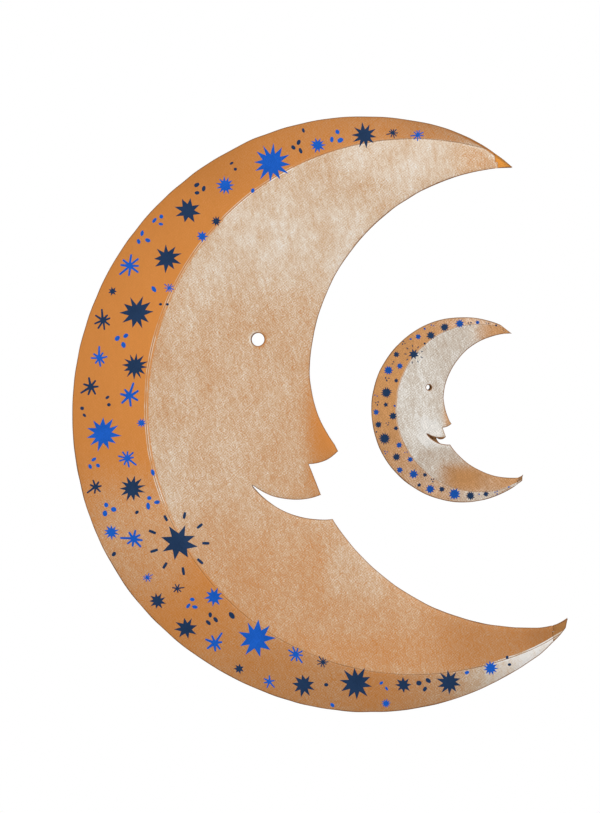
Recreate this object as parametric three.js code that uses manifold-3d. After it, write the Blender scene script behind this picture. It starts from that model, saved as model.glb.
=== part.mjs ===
// A set of two folded card moons, a large crescent and a small one, each with a face in profile.
// Each moon is two leaves of card, one in front and one behind. A leaf is scored along a curve
// that parts its printed band from its face, and it is folded there into a shallow ridge. The two
// leaves meet along the rim. Near each horn tip they cross through half slits that lie on one
// straight line, so the back leaf can swing away from the front one about that line.
// Lengths are in millimetres. X runs to the right, Y away from the viewer and Z up. The origin is
// the point on the large moon's rim from which the moon hangs.

import * as THREE from 'three';
import { mergeVertices } from 'three/addons/utils/BufferGeometryUtils.js';
import Module from 'manifold-3d';

const wasm = await Module();
wasm.setup();

// Sizes that all the leaves share
const CARD = 0.4; // thickness of the card
const LEAF_GAP = 0.3; // air between two leaves at the rim and in the slits
const BAND_SLOPE = 15; // degrees that the printed band rises from the rim to the score
const INNER_LIFT = 0.15; // share of the ridge's height that is left at the face's inner edge
const FACE_CROWN = 0.3; // how far the face is arched between the score and its inner edge

// Fineness of the sheets
const TIP_RAYS = 2; // grid cells across each horn tip, beyond its slit
const FACE_ROWS = 5; // grid cells from the score to the inner edge
const LEAST_BAND = 0.2; // the band's width where it runs out, towards the slits
const EYE_SIDES = 20;
const CUT_MARGIN = 2; // how far a sheet runs past its outline
const SAME_PLACE = 1e-5; // points nearer than this are one point

// The large moon. Places are measured from the centre of its rim, by x and z or, near the rim, by
// an angle above +X and how far inside the rim they are. The outline is named from the rim's lower
// end round the face to its upper end. Each edge starts at its point, and its bow is how far it
// bends to the left on the way to the next point.
const LARGE = {
  rimAcross: 138.8, // half the rim's width
  rimUp: 140.6, // half the rim's height
  scoreCentre: { x: 22.4, z: 3.8 },
  scoreRadius: 126.7,
  outline: {
    rimEnd: { angle: -54, inside: 0, bow: -0.6 },
    lowerHeel: { angle: -46.5, inside: 1.9, bow: 0 },
    lowerTip: { angle: -44.8, inside: 4.6, bow: 1.4 },
    hornBend: { angle: -51.3, inside: 11.8, bow: 14.3 },
    chin: { x: -15.8, z: -49.2, bow: 5.4 },
    mouthCorner: { x: -53.6, z: -33.4, bow: -4.3 },
    upperLip: { x: -21.2, z: -37.9, bow: 0 },
    underNose: { x: -27, z: -23.4, bow: -1.6 },
    noseTip: { x: -13, z: -17.3, bow: 0 },
    noseBridge: { x: -14.6, z: -14.1, bow: 3 },
    brow: { x: -26.5, z: 21, bow: 27 },
    upperTip: { angle: 59.0, inside: 4.6, bow: -3.1 },
    rimStart: { angle: 78, inside: 0 },
  },
  eye: { x: -51.1, z: 35.4, diameter: 6.2 },
  backEyeShift: { x: 0.5, z: 0.1 }, // how far the back leaf's eye is out of line
  backMouthCorner: { x: -53.6, z: -33.4 },
  noseLift: 1.6, // how far the nose curls away from the middle plane
  noseCurlReach: 13,
  upperSlitFromTip: 8.7,
  lowerSlitFromTip: 10.2,
  tipSlope: 25, // degrees at which the leaves cross in the slits
  foldFade: 16, // how far from the slits the ridge begins to flatten out
  rays: 60, // grid cells along the sheet, from one slit to the other
  rimSteps: 84, // straight steps along the rim
  bowStep: 6, // longest straight step along a bowed edge
};

// The small moon, with places measured from the centre of its own rim
const SMALL = {
  rimAcross: 43.5,
  rimUp: 43.8,
  scoreCentre: { x: 7.8, z: 0.7 },
  scoreRadius: 39.8,
  outline: {
    rimEnd: { angle: -50, inside: 0, bow: 0 },
    lowerHeel: { angle: -48.4, inside: 1.3, bow: 0 },
    lowerTip: { angle: -46.6, inside: 2.1, bow: 0.5 },
    hornBend: { angle: -53.0, inside: 3.6, bow: 4.4 },
    chin: { x: -6.2, z: -16.3, bow: 1.5 },
    mouthCorner: { x: -17.2, z: -11.4, bow: -1.1 },
    upperLip: { x: -8.1, z: -12.9, bow: 0 },
    underNose: { x: -9.7, z: -8.6, bow: -0.4 },
    noseTip: { x: -5.4, z: -6.7, bow: 0 },
    noseBridge: { x: -6.4, z: -5.2, bow: 0.4 },
    brow: { x: -9.3, z: 5.4, bow: 8.9 },
    upperTip: { angle: 57.2, inside: 1.1, bow: 0 },
    rimStart: { angle: 66, inside: 0 },
  },
  eye: { x: -16.3, z: 10.5, diameter: 2.6 },
  backEyeShift: { x: -0.9, z: 0.2 },
  backMouthCorner: { x: -12.6, z: -13.2 }, // the back leaf's mouth is cut less far, and shows in the gap
  noseLift: 0.6,
  noseCurlReach: 4,
  upperSlitFromTip: 4.2,
  lowerSlitFromTip: 4.2,
  tipSlope: 30,
  foldFade: 6,
  rays: 36,
  rimSteps: 54,
  bowStep: 2.6,
};

// Where the moons are
const HANG_OFFSET = -49; // the large moon's hanging point, left of its rim's centre
const SMALL_FROM_LARGE = { x: 45.9, z: 2.3 }; // from the large rim's centre to the small one's

// The leaves' colours
const COPPER = { color: 0xd3a679, roughness: 0.45, metalness: 0.35 };
const COPPER_BACK = { color: 0xc98f58, roughness: 0.45, metalness: 0.35 };
const CHAMPAGNE = { color: 0xcfc0aa, roughness: 0.45, metalness: 0.35 };
const CHAMPAGNE_BACK = { color: 0xc08f60, roughness: 0.45, metalness: 0.35 };

// Sums in the moon's own plane, on [x, z] pairs

const add = ([ax, az], [bx, bz]) => [ax + bx, az + bz];
const minus = ([ax, az], [bx, bz]) => [ax - bx, az - bz];
const times = ([x, z], k) => [x * k, z * k];
const dot = ([ax, az], [bx, bz]) => ax * bx + az * bz;
const middle = (a, b) => times(add(a, b), 0.5);
const distance = (a, b) => Math.hypot(...minus(a, b));
const unit = (v) => times(v, 1 / Math.hypot(...v));
const onLeft = ([x, z]) => [-z, x];
const radians = THREE.MathUtils.degToRad;
const slopeOf = (degrees) => Math.tan(radians(degrees));

// The points of an edge from a to b, without b, that bends to its left by bow at its middle
function bowedEdge(a, b, bow, longest) {
  const half = distance(a, b) / 2;
  const steps = bow === 0 ? 1 : Math.max(3, Math.ceil((2 * half) / longest));
  if (steps === 1) return [a];
  const radius = (half * half + bow * bow) / (2 * bow);
  const side = onLeft(unit(minus(b, a)));
  const centre = add(middle(a, b), times(side, bow - radius));
  const start = Math.atan2(a[1] - centre[1], a[0] - centre[0]);
  const turn = -4 * Math.atan(bow / half);
  return Array.from({ length: steps }, (_, i) => {
    const angle = start + (turn * i) / steps;
    const out = Math.abs(radius);
    return [centre[0] + out * Math.cos(angle), centre[1] + out * Math.sin(angle)];
  });
}

// The place on a moon's rim at an angle above +X
function rimPoint(moon, degrees) {
  const angle = radians(degrees);
  return [moon.rimAcross * Math.cos(angle), moon.rimUp * Math.sin(angle)];
}

// The place of a point that is given by x and z, or by an angle and how far inside the rim it is
function placeOf(moon, { x, z, angle, inside }) {
  if (angle === undefined) return [x, z];
  const onRim = rimPoint(moon, angle);
  return minus(onRim, times(unit(onRim), inside));
}

// The rim from its upper end round to its lower one, without the lower one
function rimPoints(moon) {
  const from = moon.outline.rimStart.angle;
  const to = moon.outline.rimEnd.angle + 360;
  const step = (to - from) / moon.rimSteps;
  return Array.from({ length: moon.rimSteps }, (_, i) => rimPoint(moon, from + i * step));
}

// The outline from the rim's lower end round the face to its upper end, without the upper end
function facePoints(moon, mouthCorner) {
  const edges = { ...moon.outline };
  edges.mouthCorner = { ...edges.mouthCorner, ...mouthCorner };
  const corners = Object.values(edges).map((edge) => placeOf(moon, edge));
  return Object.values(edges).slice(0, -1).flatMap(({ bow }, i) => {
    return bowedEdge(corners[i], corners[i + 1], bow, moon.bowStep);
  });
}

// The point on a run of points at a given distance from where the run starts
function pointAlong(points, away) {
  const after = points.findIndex((p) => distance(p, points[0]) >= away);
  const [p, q] = [points[after - 1], points[after]];
  const [near, far] = [distance(p, points[0]), distance(q, points[0])];
  return add(p, times(minus(q, p), (away - near) / (far - near)));
}

// The middle of a horn at a given distance from its tip
function hornMiddle(points, tip, away) {
  const start = points.findIndex((p) => distance(p, tip) < SAME_PLACE);
  const onward = [...points.slice(start), ...points.slice(0, start)];
  const backward = [onward[0], ...onward.slice(1).toReversed()];
  return middle(pointAlong(onward, away), pointAlong(backward, away));
}

// Where the leaves cross: the middle of each horn at its slit, the straight line through the
// two slits, and the point half way along it, from which the sheet's grid fans out
function crossing(moon) {
  const { upperTip, lowerTip, mouthCorner } = moon.outline;
  const points = [...rimPoints(moon), ...facePoints(moon, mouthCorner)];
  const upper = hornMiddle(points, placeOf(moon, upperTip), moon.upperSlitFromTip);
  const lower = hornMiddle(points, placeOf(moon, lowerTip), moon.lowerSlitFromTip);
  const pole = middle(upper, lower);
  const up = unit(minus(upper, lower));
  return { pole, up, left: onLeft(up), reach: distance(upper, pole) };
}

// How far along a ray from start in a direction a round of two half widths is crossed, on the
// way out. A circle has its radius twice.
function rayToRound(start, direction, centre, [halfWidth, halfHeight]) {
  const squeezed = ([x, z]) => [x / halfWidth, z / halfHeight];
  const [offset, step] = [squeezed(minus(start, centre)), squeezed(direction)];
  const [a, b, c] = [dot(step, step), dot(offset, step), dot(offset, offset) - 1];
  return (Math.sqrt(b * b - a * c) - b) / a;
}

// A ray of the grid at an angle to the left of straight up the line of the slits, with the
// distances from the pole to the rim's round and to the score
function gridRay(moon, cross, angle) {
  const direction = add(times(cross.up, Math.cos(angle)), times(cross.left, Math.sin(angle)));
  const rim = rayToRound(cross.pole, direction, [0, 0], [moon.rimAcross, moon.rimUp]);
  const { scoreCentre, scoreRadius } = moon;
  const halves = [scoreRadius, scoreRadius];
  const toScore = rayToRound(cross.pole, direction, placeOf(moon, scoreCentre), halves);
  return { direction, rim, score: Math.min(toScore, rim) };
}

// How far inside the rim's round a place is, and 0 outside it
function insideRim(moon, [x, z]) {
  const roundness = Math.hypot(x / moon.rimAcross, z / moon.rimUp);
  return (Math.max(0, 1 - roundness) * (moon.rimAcross + moon.rimUp)) / 2;
}

// How far a leaf's middle lies from the middle plane of its moon. It is flat against the other
// leaf at the rim, rises to the score, falls away to the face's inner edge and curls at the
// nose. The ridge flattens out towards the slits, and past them the leaf comes out on the
// other side.
function leafHeight(moon, cross, innerRadius, ray, out) {
  const place = add(cross.pole, times(ray.direction, out));
  const fromLine = dot(minus(place, cross.pole), cross.left);
  const contact = Math.min(fromLine * slopeOf(moon.tipSlope), (CARD + LEAF_GAP) / 2);
  const rise = slopeOf(BAND_SLOPE);
  const scorePoint = add(cross.pole, times(ray.direction, ray.score));
  const ridge = insideRim(moon, scorePoint) * rise;
  const across = Math.max(0, (ray.score - out) / (ray.score - innerRadius));
  const arched = (1 - FACE_CROWN) * across + FACE_CROWN * across * across;
  const band = insideRim(moon, place) * rise;
  const fold = out > ray.score ? band : ridge * (1 - (1 - INNER_LIFT) * arched);
  const faded = THREE.MathUtils.clamp(fromLine / moon.foldFade, 0, 1);
  const fromNose = distance(place, placeOf(moon, moon.outline.noseTip)) / moon.noseCurlReach;
  return contact + fold * faded + moon.noseLift * Math.exp(-fromNose * fromNose);
}

// The angles of the grid's rays: across the upper tip, over the body and across the lower tip
function rayAngles(moon, cross) {
  const beyond = (slitFromTip) => (slitFromTip + CUT_MARGIN) / cross.reach;
  const contactEnds = (CARD + LEAF_GAP) / 2 / slopeOf(moon.tipSlope) / cross.reach;
  const spread = (from, to, steps) =>
    Array.from({ length: steps }, (_, i) => from + ((to - from) * i) / steps);
  return [
    ...spread(-beyond(moon.upperSlitFromTip), 0, TIP_RAYS),
    0,
    ...spread(contactEnds, Math.PI - contactEnds, moon.rays),
    Math.PI - contactEnds,
    ...spread(Math.PI, Math.PI + beyond(moon.lowerSlitFromTip), TIP_RAYS),
    Math.PI + beyond(moon.lowerSlitFromTip),
  ];
}

// A closed geometry from a list of [x, y, z] vertices and a list of triangles
function closedGeometry(vertices, triangles) {
  const geometry = new THREE.BufferGeometry();
  geometry.setAttribute('position', new THREE.Float32BufferAttribute(vertices.flat(), 3));
  geometry.setIndex(triangles.flat());
  return geometry;
}

// How far from the pole a ray's grid points are: beyond the rim, on it, on the score and then in
// even steps across the face
function gridDistances(ray, innerRadius) {
  const score = Math.min(ray.score, ray.rim - LEAST_BAND);
  const step = (innerRadius - score) / FACE_ROWS;
  const face = Array.from({ length: FACE_ROWS + 1 }, (_, i) => score + step * i);
  return [ray.rim + CUT_MARGIN, ray.rim, ...face];
}

// The folded sheet before it is cut out, as a grid of cells with the card's thickness.
// side is -1 for a front leaf and 1 for a back leaf.
function foldedSheet(moon, cross, innerRadius, side) {
  const rays = rayAngles(moon, cross).map((angle) => gridRay(moon, cross, angle));
  const rows = gridDistances(rays[0], innerRadius).length - 1;
  const vertices = rays.flatMap((ray) => {
    return gridDistances(ray, innerRadius).flatMap((out) => {
      const [x, z] = add(cross.pole, times(ray.direction, out));
      const y = side * leafHeight(moon, cross, innerRadius, ray, out);
      return [
        [x, y - CARD / 2, z],
        [x, y + CARD / 2, z],
      ];
    });
  });
  const at = (ray, row, face) => (ray * (rows + 1) + row) * 2 + face;
  const triangles = [];
  const quad = (a, b, c, d) => triangles.push([a, b, c], [a, c, d]);
  for (let i = 0; i < rays.length - 1; i++) {
    for (let j = 0; j < rows; j++) {
      quad(at(i, j, 0), at(i + 1, j, 0), at(i + 1, j + 1, 0), at(i, j + 1, 0));
      quad(at(i, j, 1), at(i, j + 1, 1), at(i + 1, j + 1, 1), at(i + 1, j, 1));
    }
    quad(at(i, 0, 0), at(i, 0, 1), at(i + 1, 0, 1), at(i + 1, 0, 0));
    quad(at(i, rows, 0), at(i + 1, rows, 0), at(i + 1, rows, 1), at(i, rows, 1));
  }
  const last = rays.length - 1;
  for (let j = 0; j < rows; j++) {
    quad(at(0, j, 0), at(0, j + 1, 0), at(0, j + 1, 1), at(0, j, 1));
    quad(at(last, j, 0), at(last, j, 1), at(last, j + 1, 1), at(last, j + 1, 0));
  }
  return solid(closedGeometry(vertices, triangles));
}

// A solid for cutting and joining from a closed geometry
function solid(geometry) {
  const plain = geometry.clone();
  plain.deleteAttribute('normal');
  plain.deleteAttribute('uv');
  const merged = mergeVertices(plain, SAME_PLACE);
  const mesh = new wasm.Mesh({
    numProp: 3,
    vertProperties: new Float32Array(merged.attributes.position.array),
    triVerts: new Uint32Array(merged.index.array),
  });
  return new wasm.Manifold(mesh);
}

// A geometry to show from a cut solid
function shown(cut) {
  const mesh = cut.getMesh();
  const geometry = new THREE.BufferGeometry();
  geometry.setAttribute('position', new THREE.BufferAttribute(mesh.vertProperties, 3));
  geometry.setIndex(new THREE.BufferAttribute(mesh.triVerts, 1));
  geometry.computeVertexNormals();
  return geometry;
}

// The outline of a leaf as an upright prism, thick enough for the whole fold and both tips
function outlinePrism(moon, mouthCorner) {
  const points = [...rimPoints(moon), ...facePoints(moon, mouthCorner)];
  const shape = new THREE.Shape(points.map(([x, z]) => new THREE.Vector2(x, z)));
  const geometry = new THREE.ExtrudeGeometry(shape, { depth: moon.rimUp, bevelEnabled: false });
  geometry.rotateX(Math.PI / 2);
  geometry.translate(0, moon.rimUp / 2, 0);
  return solid(geometry);
}

// The round eye, cut straight through
function eyeCutter(moon, shift) {
  const [x, z] = add(placeOf(moon, moon.eye), shift);
  const radius = moon.eye.diameter / 2;
  const geometry = new THREE.CylinderGeometry(radius, radius, moon.rimUp, EYE_SIDES);
  geometry.translate(x, 0, z);
  return solid(geometry);
}

// A slit along the line of the slits, from one distance to another from the pole. toUpper is 1
// for the upper horn and -1 for the lower one.
function slitCutter(moon, cross, toUpper, from, to) {
  const width = (CARD + LEAF_GAP) / slopeOf(moon.tipSlope);
  const [x, z] = add(cross.pole, times(cross.up, (toUpper * (from + to)) / 2));
  const geometry = new THREE.BoxGeometry(width, moon.rimUp, to - from);
  geometry.rotateY(Math.atan2(cross.up[0], cross.up[1]));
  geometry.translate(x, 0, z);
  return solid(geometry);
}

// One leaf: the folded sheet cut to the outline, with its eye and its two half slits. A front
// leaf is slit from the rim inward, and a back leaf from the face's inner edge outward.
function leaf(moon, side) {
  const cross = crossing(moon);
  const isBack = side > 0;
  const mouthCorner = isBack ? moon.backMouthCorner : moon.outline.mouthCorner;
  const eyeShift = isBack ? placeOf(moon, moon.backEyeShift) : [0, 0];
  const nearest = Math.min(...facePoints(moon, mouthCorner).map((p) => distance(p, cross.pole)));
  const innerRadius = nearest - CUT_MARGIN;
  const slitEnd = cross.reach + (isBack ? LEAF_GAP / 2 : -LEAF_GAP / 2);
  const slitMouth = isBack ? innerRadius : cross.reach + moon.upperSlitFromTip;
  const [from, to] = [Math.min(slitEnd, slitMouth), Math.max(slitEnd, slitMouth)];
  const cut = foldedSheet(moon, cross, innerRadius, side)
    .intersect(outlinePrism(moon, mouthCorner))
    .subtract(eyeCutter(moon, eyeShift))
    .subtract(slitCutter(moon, cross, 1, from, to))
    .subtract(slitCutter(moon, cross, -1, from, to));
  return shown(cut);
}

// A moon as a group of its two leaves
function moonOf(name, moon, frontLook, backLook) {
  const group = new THREE.Group();
  const front = new THREE.Mesh(leaf(moon, -1), new THREE.MeshStandardMaterial(frontLook));
  front.name = `${name}_front_leaf`;
  const back = new THREE.Mesh(leaf(moon, 1), new THREE.MeshStandardMaterial(backLook));
  back.name = `${name}_back_leaf`;
  group.add(front, back);
  return group;
}

const hangingAngle = THREE.MathUtils.radToDeg(Math.acos(HANG_OFFSET / LARGE.rimAcross));
const hangingPoint = rimPoint(LARGE, hangingAngle);

const largeMoon = moonOf('large', LARGE, COPPER, COPPER_BACK);
largeMoon.position.set(-hangingPoint[0], 0, -hangingPoint[1]);

const smallMoon = moonOf('small', SMALL, CHAMPAGNE, CHAMPAGNE_BACK);
smallMoon.position.set(SMALL_FROM_LARGE.x, 0, SMALL_FROM_LARGE.z);
largeMoon.add(smallMoon);

const moons = new THREE.Group();
moons.add(largeMoon);

export default moons;
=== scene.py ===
"""Two folded card moons, a large crescent with a small one turning in its bay.

Each moon has a front leaf and a back leaf of pearly card, scored and folded along a curve, with
stars and dots printed on the band outside the score. The sizes of the moons are in millimetres,
measured from the centre of each moon's rim, and the sizes that the panel shows are in metres.
"""

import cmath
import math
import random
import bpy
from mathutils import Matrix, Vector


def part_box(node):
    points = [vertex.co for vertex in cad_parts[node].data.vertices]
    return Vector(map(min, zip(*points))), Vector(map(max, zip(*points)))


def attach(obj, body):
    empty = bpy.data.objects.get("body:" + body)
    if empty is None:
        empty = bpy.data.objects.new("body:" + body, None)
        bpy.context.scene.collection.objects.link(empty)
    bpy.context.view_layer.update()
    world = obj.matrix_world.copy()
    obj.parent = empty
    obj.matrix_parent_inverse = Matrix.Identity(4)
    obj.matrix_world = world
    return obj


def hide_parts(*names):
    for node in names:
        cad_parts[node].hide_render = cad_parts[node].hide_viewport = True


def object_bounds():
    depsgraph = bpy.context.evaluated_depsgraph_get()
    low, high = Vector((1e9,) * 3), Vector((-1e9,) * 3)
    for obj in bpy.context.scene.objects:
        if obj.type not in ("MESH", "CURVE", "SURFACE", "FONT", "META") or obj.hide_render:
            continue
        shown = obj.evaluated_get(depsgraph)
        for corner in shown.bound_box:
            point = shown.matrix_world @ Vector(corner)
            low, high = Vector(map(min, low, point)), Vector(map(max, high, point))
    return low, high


bl_info = {
    "name": "Card moons",
    "version": (1, 0, 0),
    "blender": (4, 5, 0),
    "location": "3D View > Sidebar > Moons",
    "description": "Builds a pair of folded card moons with printed stars",
    "category": "Add Mesh",
}

from collections import namedtuple

import bpy
from bpy.props import (
    FloatProperty,
    FloatVectorProperty,
    IntProperty,
    PointerProperty,
)
from bpy.types import Operator, Panel, PropertyGroup
from mathutils import Vector, noise
from mathutils.geometry import delaunay_2d_cdt

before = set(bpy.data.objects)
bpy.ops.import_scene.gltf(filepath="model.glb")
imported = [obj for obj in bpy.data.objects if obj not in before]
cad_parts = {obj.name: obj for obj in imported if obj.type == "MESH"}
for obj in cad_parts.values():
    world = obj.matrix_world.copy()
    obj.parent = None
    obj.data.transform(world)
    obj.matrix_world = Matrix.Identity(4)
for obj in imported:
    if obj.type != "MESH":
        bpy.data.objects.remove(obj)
CAD_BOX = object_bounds()

MM = 0.001

# The moons' outlines and folds

# Places are measured from the centre of the rim, by x and z or, near the rim, by an angle above
# +X and how far inside the rim they are. The outline runs from the rim's lower end round the face
# to its upper end, and bow is how far each edge bends to its left.
LARGE = {
    "rim_across": 138.8,
    "rim_up": 140.6,
    "score_centre": complex(22.4, 3.8),
    "score_radius": 126.7,
    "score_swell": {"angle": -58, "spread": 14, "out": 1.4},
    "outline": {
        "rim_end": {"angle": -54, "inside": 0, "bow": -0.6},
        "lower_heel": {"angle": -46.5, "inside": 1.9, "bow": 0},
        "lower_tip": {"angle": -44.8, "inside": 4.6, "bow": 1.4},
        "horn_bend": {"angle": -51.3, "inside": 11.8, "bow": 14.3},
        "chin": {"x": -15.8, "z": -49.2, "bow": 5.4},
        "mouth_corner": {"x": -53.6, "z": -33.4, "bow": -4.3},
        "upper_lip": {"x": -21.2, "z": -37.9, "bow": 0},
        "under_nose": {"x": -27, "z": -23.4, "bow": -1.6},
        "nose_tip": {"x": -13, "z": -17.3, "bow": 0},
        "nose_bridge": {"x": -14.6, "z": -14.1, "bow": 3},
        "brow": {"x": -26.5, "z": 21, "bow": 27},
        "upper_tip": {"angle": 59.0, "inside": 4.6, "bow": -3.1},
        "rim_start": {"angle": 78, "inside": 0},
    },
    "eye": complex(-51.1, 35.4),
    "eye_diameter": 6.2,
    "back_eye_shift": complex(0.2, 0.05),
    "back_mouth_corner": complex(-53.6, -33.4),
    "nose_lift": 1.6,
    "nose_curl_reach": 13,
    "upper_slit_from_tip": 8.7,
    "lower_slit_from_tip": 10.2,
    "tip_slope": 25,
    "fold_fade": 16,
    "cut_step": 1.2,
    "grid_step": 2.7,
    "bead_lines": (-2.1, -1.5, -0.9, -0.4, 0.0, 0.5),
    "bead_groove": -0.4,
    "bead_width": 0.3,
    "pearl_edge": -1.7,
    "pearl_edge_softness": 0.4,
    "wave": 0.25,
    "wave_length": 48,
    "back_shift": complex(-0.05, -0.1),
    "ray_star_angle": 214,
    "swells": [(102, 16, 0.4), (206, 12, 0.15), (244, 18, -0.9), (286, 9, 0.3)],
}

SMALL = {
    "rim_across": 43.5,
    "rim_up": 43.8,
    "score_centre": complex(7.8, 0.7),
    "score_radius": 39.8,
    "score_swell": {"angle": -58, "spread": 14, "out": 0},
    "outline": {
        "rim_end": {"angle": -50, "inside": 0, "bow": 0},
        "lower_heel": {"angle": -48.4, "inside": 1.3, "bow": 0},
        "lower_tip": {"angle": -46.6, "inside": 2.1, "bow": 0.5},
        "horn_bend": {"angle": -53.0, "inside": 3.6, "bow": 4.4},
        "chin": {"x": -6.2, "z": -16.3, "bow": 1.5},
        "mouth_corner": {"x": -17.2, "z": -11.4, "bow": -1.1},
        "upper_lip": {"x": -8.1, "z": -12.9, "bow": 0},
        "under_nose": {"x": -9.7, "z": -8.6, "bow": -0.4},
        "nose_tip": {"x": -5.4, "z": -6.7, "bow": 0},
        "nose_bridge": {"x": -6.4, "z": -5.2, "bow": 0.4},
        "brow": {"x": -9.3, "z": 5.4, "bow": 8.9},
        "upper_tip": {"angle": 57.2, "inside": 1.1, "bow": 0},
        "rim_start": {"angle": 66, "inside": 0},
    },
    "eye": complex(-16.3, 10.5),
    "eye_diameter": 2.6,
    "back_eye_shift": complex(-0.9, 0.2),
    "back_mouth_corner": complex(-12.6, -13.2),
    "nose_lift": 0.6,
    "nose_curl_reach": 4,
    "upper_slit_from_tip": 4.2,
    "lower_slit_from_tip": 4.2,
    "tip_slope": 30,
    "fold_fade": 6,
    "cut_step": 0.6,
    "grid_step": 1.2,
    "bead_lines": (-1.0, -0.7, -0.4, -0.2, 0.0, 0.3),
    "bead_groove": -0.2,
    "bead_width": 0.18,
    "pearl_edge": -0.6,
    "pearl_edge_softness": 0.3,
    "wave": 0.1,
    "wave_length": 20,
    "back_shift": complex(-0.06, -0.08),
    "ray_star_angle": 132,
    "swells": [],
}

INNER_LIFT = 0.15  # share of the ridge's height that is left at the face's inner edge
FACE_CROWN = 0.3  # how far the face is arched between the score and its inner edge
INNER_MARGIN = 2  # how much nearer to the pole than the face's inner edge the fold is reckoned to
TIP_REACH = (0.03, 0.2)  # where the back leaf's shift begins and is whole, in half heights
RELIEF_START = 6  # how far inside the rim the groove and the waves have their full height
SMALL_WAVE = 0.3  # height of the small waves in the card, of that of the slow ones
SMALL_WAVE_COUNT = 3.1  # small waves to a slow one
WAVE_SEED_STEP = 7.3  # how far apart in the noise the waves of two seeds lie
SLIT_EASE = 1.2  # how much wider a slit is than the card that crosses in it
SLIT_END_GAP = 0.03  # how far each slit reaches past the point where the leaves cross
SLIT_EDGE_REACH = 0.6  # how far from a slit's middle line its edges are looked for, in its widths

# The card's pearl, a painted sheen, and its painted shade: where it looks coppery and where pale

# A soft-edged blot of painted sheen and painted shade on a leaf: its middle, its half sizes, and
# what it adds to the pearl and to the brightness there
Patch = namedtuple("Patch", "x z across up pearl shade")

# Blots of painted sheen and painted shade on the large moon
LARGE_FACE_PATCHES = {
    "coppery nose": Patch(-15, -3, 13.5, 25, -0.67, -0.05),
    "coppery lip": Patch(-22, -32, 7, 9, -0.3, -0.05),
    "pale brow": Patch(-40, 84, 44, 26, 0.16, 0.0),
    "golden temple": Patch(-33, 48, 16, 15, -0.07, 0.0),
    "pale upper horn": Patch(24, 124, 34, 14, 0.17, 0.04),
    "low sheen upper horn": Patch(54, 119, 12, 8, -0.26, 0.04),
    "pale cheek": Patch(-98, -32, 10, 26, 0.15, 0.0),
    "pale chin": Patch(-4, -74, 14, 14, 0.22, 0.0),
    "low sheen jaw": Patch(-6, -112, 40, 9, -0.12, 0.0),
    "low sheen lower horn": Patch(68, -108, 34, 15, -0.23, -0.17),
    "shaded lower tip": Patch(90, -100, 16, 12, -0.09, -0.16),
}

LARGE_BAND_PATCHES = {
    "dim upper left": Patch(-72, 118, 18, 14, 0.0, -0.05),
    "sheen on lower left band": Patch(-109, -59, 26, 29, 0.33, 0.04),
    "golden lower left": Patch(-82, -88, 24, 24, -0.14, 0.0),
    "dull underside": Patch(-16, -126, 50, 22, -0.2, -0.02),
    "dull lower band": Patch(20, -126, 30, 22, -0.34, -0.02),
    "dim underside": Patch(-40, -125, 34, 18, -0.03, -0.04),
    "pale lower band": Patch(86, -110, 24, 16, 0.18, 0.22),
    "dim upper band": Patch(36, 134, 22, 10, 0.0, -0.1),
    "pale upper band": Patch(57, 125, 17, 9, 0.2, -0.06),
}

# Blots of painted sheen and painted shade on the small moon
SMALL_FACE_PATCHES = {
    "coppery nose": Patch(-5.5, -5, 4.2, 8, -0.78, -0.05),
    "bright cheek": Patch(-14, -11, 7, 7, 0.3, 0.12),
    "dim chin": Patch(-10, -26, 24, 11, -0.05, -0.12),
    "low sheen jaw": Patch(1, -33, 12, 8, -0.76, -0.03),
    "low sheen lower horn": Patch(24, -33, 12, 8, -0.74, 0.0),
    "low sheen upper horn": Patch(19, 38, 13, 7, -0.8, 0.06),
}

SMALL_BAND_PATCHES = {
    "pale top": Patch(2, 42, 17, 5, 0.12, 0.03),
    "low sheen upper band": Patch(28, 34, 14, 8, -0.5, 0.0),
    "low sheen lower band": Patch(26, -36, 12, 8, -0.45, -0.04),
    "pale underside": Patch(8, -42, 22, 6, -0.12, 0.04),
    "golden underside": Patch(-14, -41, 9, 6, -0.17, 0.07),
}

# Each moon's look: the painted sheen and painted shade of its face and band, the painted shadow
# along its upper horn, and the strength of its grain and clouds
LARGE_LOOK = {
    "name": "large",
    "face_patches": LARGE_FACE_PATCHES,
    "band_patches": LARGE_BAND_PATCHES,
    "face_pearl": 0.66,
    "face_pearl_rise": 0.1,
    "face_pearl_fall": 0.21,
    "face_shade": 1.0,
    "band_shade": 0.93,
    "band_shade_swing": 0.12,
    "band_roll": 0.12,
    "rim_shadow": 1.0,
    "shadow_width": 1.2,
    "grain": 1.0,
    "tone_grain": 0.2,
    "clouds": 1.0,
    "tone_clouds": 0.06,
}

SMALL_LOOK = {
    "name": "small",
    "face_patches": SMALL_FACE_PATCHES,
    "band_patches": SMALL_BAND_PATCHES,
    "face_pearl": 0.85,
    "face_pearl_rise": 0.0,
    "face_pearl_fall": 0.05,
    "face_shade": 1.05,
    "band_shade": 1.14,
    "band_shade_swing": 0.05,
    "band_roll": 0.0,
    "rim_shadow": 0.0,
    "shadow_width": 0.6,
    "grain": 0.83,
    "tone_grain": 0.8,
    "clouds": 0.8,
    "tone_clouds": 0.35,
}

PEARL_TOP = 1.3  # the palest that the card gets, where 1 is the colour named glint or shell

# The light that turns the band pale: where it comes from, above +X, its strength, of 2 at most,
# where the pearl is 1, and how fast the pearl fades with it
PEARL_LIGHT_ANGLE = 335
PEARL_LIGHT_FULL = 1.82
PEARL_LIGHT_FADE = 1.7
BAND_BRIGHT_ANGLE = 185  # where the band's painted light is brightest, above +X
LEAST_BAND = 0.5  # the least width of the band beyond the score that is reckoned with
CREASE_OVERLAP = 0.2  # share of the band's overlap with the face that it has all round

# Between which distances from the rim's centre the face's painted sheen gets paler upward and
# coppery downward, in half heights of the rim
FACE_RISE = (0.15, 0.65)
FACE_FALL = (0.22, 0.55)

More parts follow.
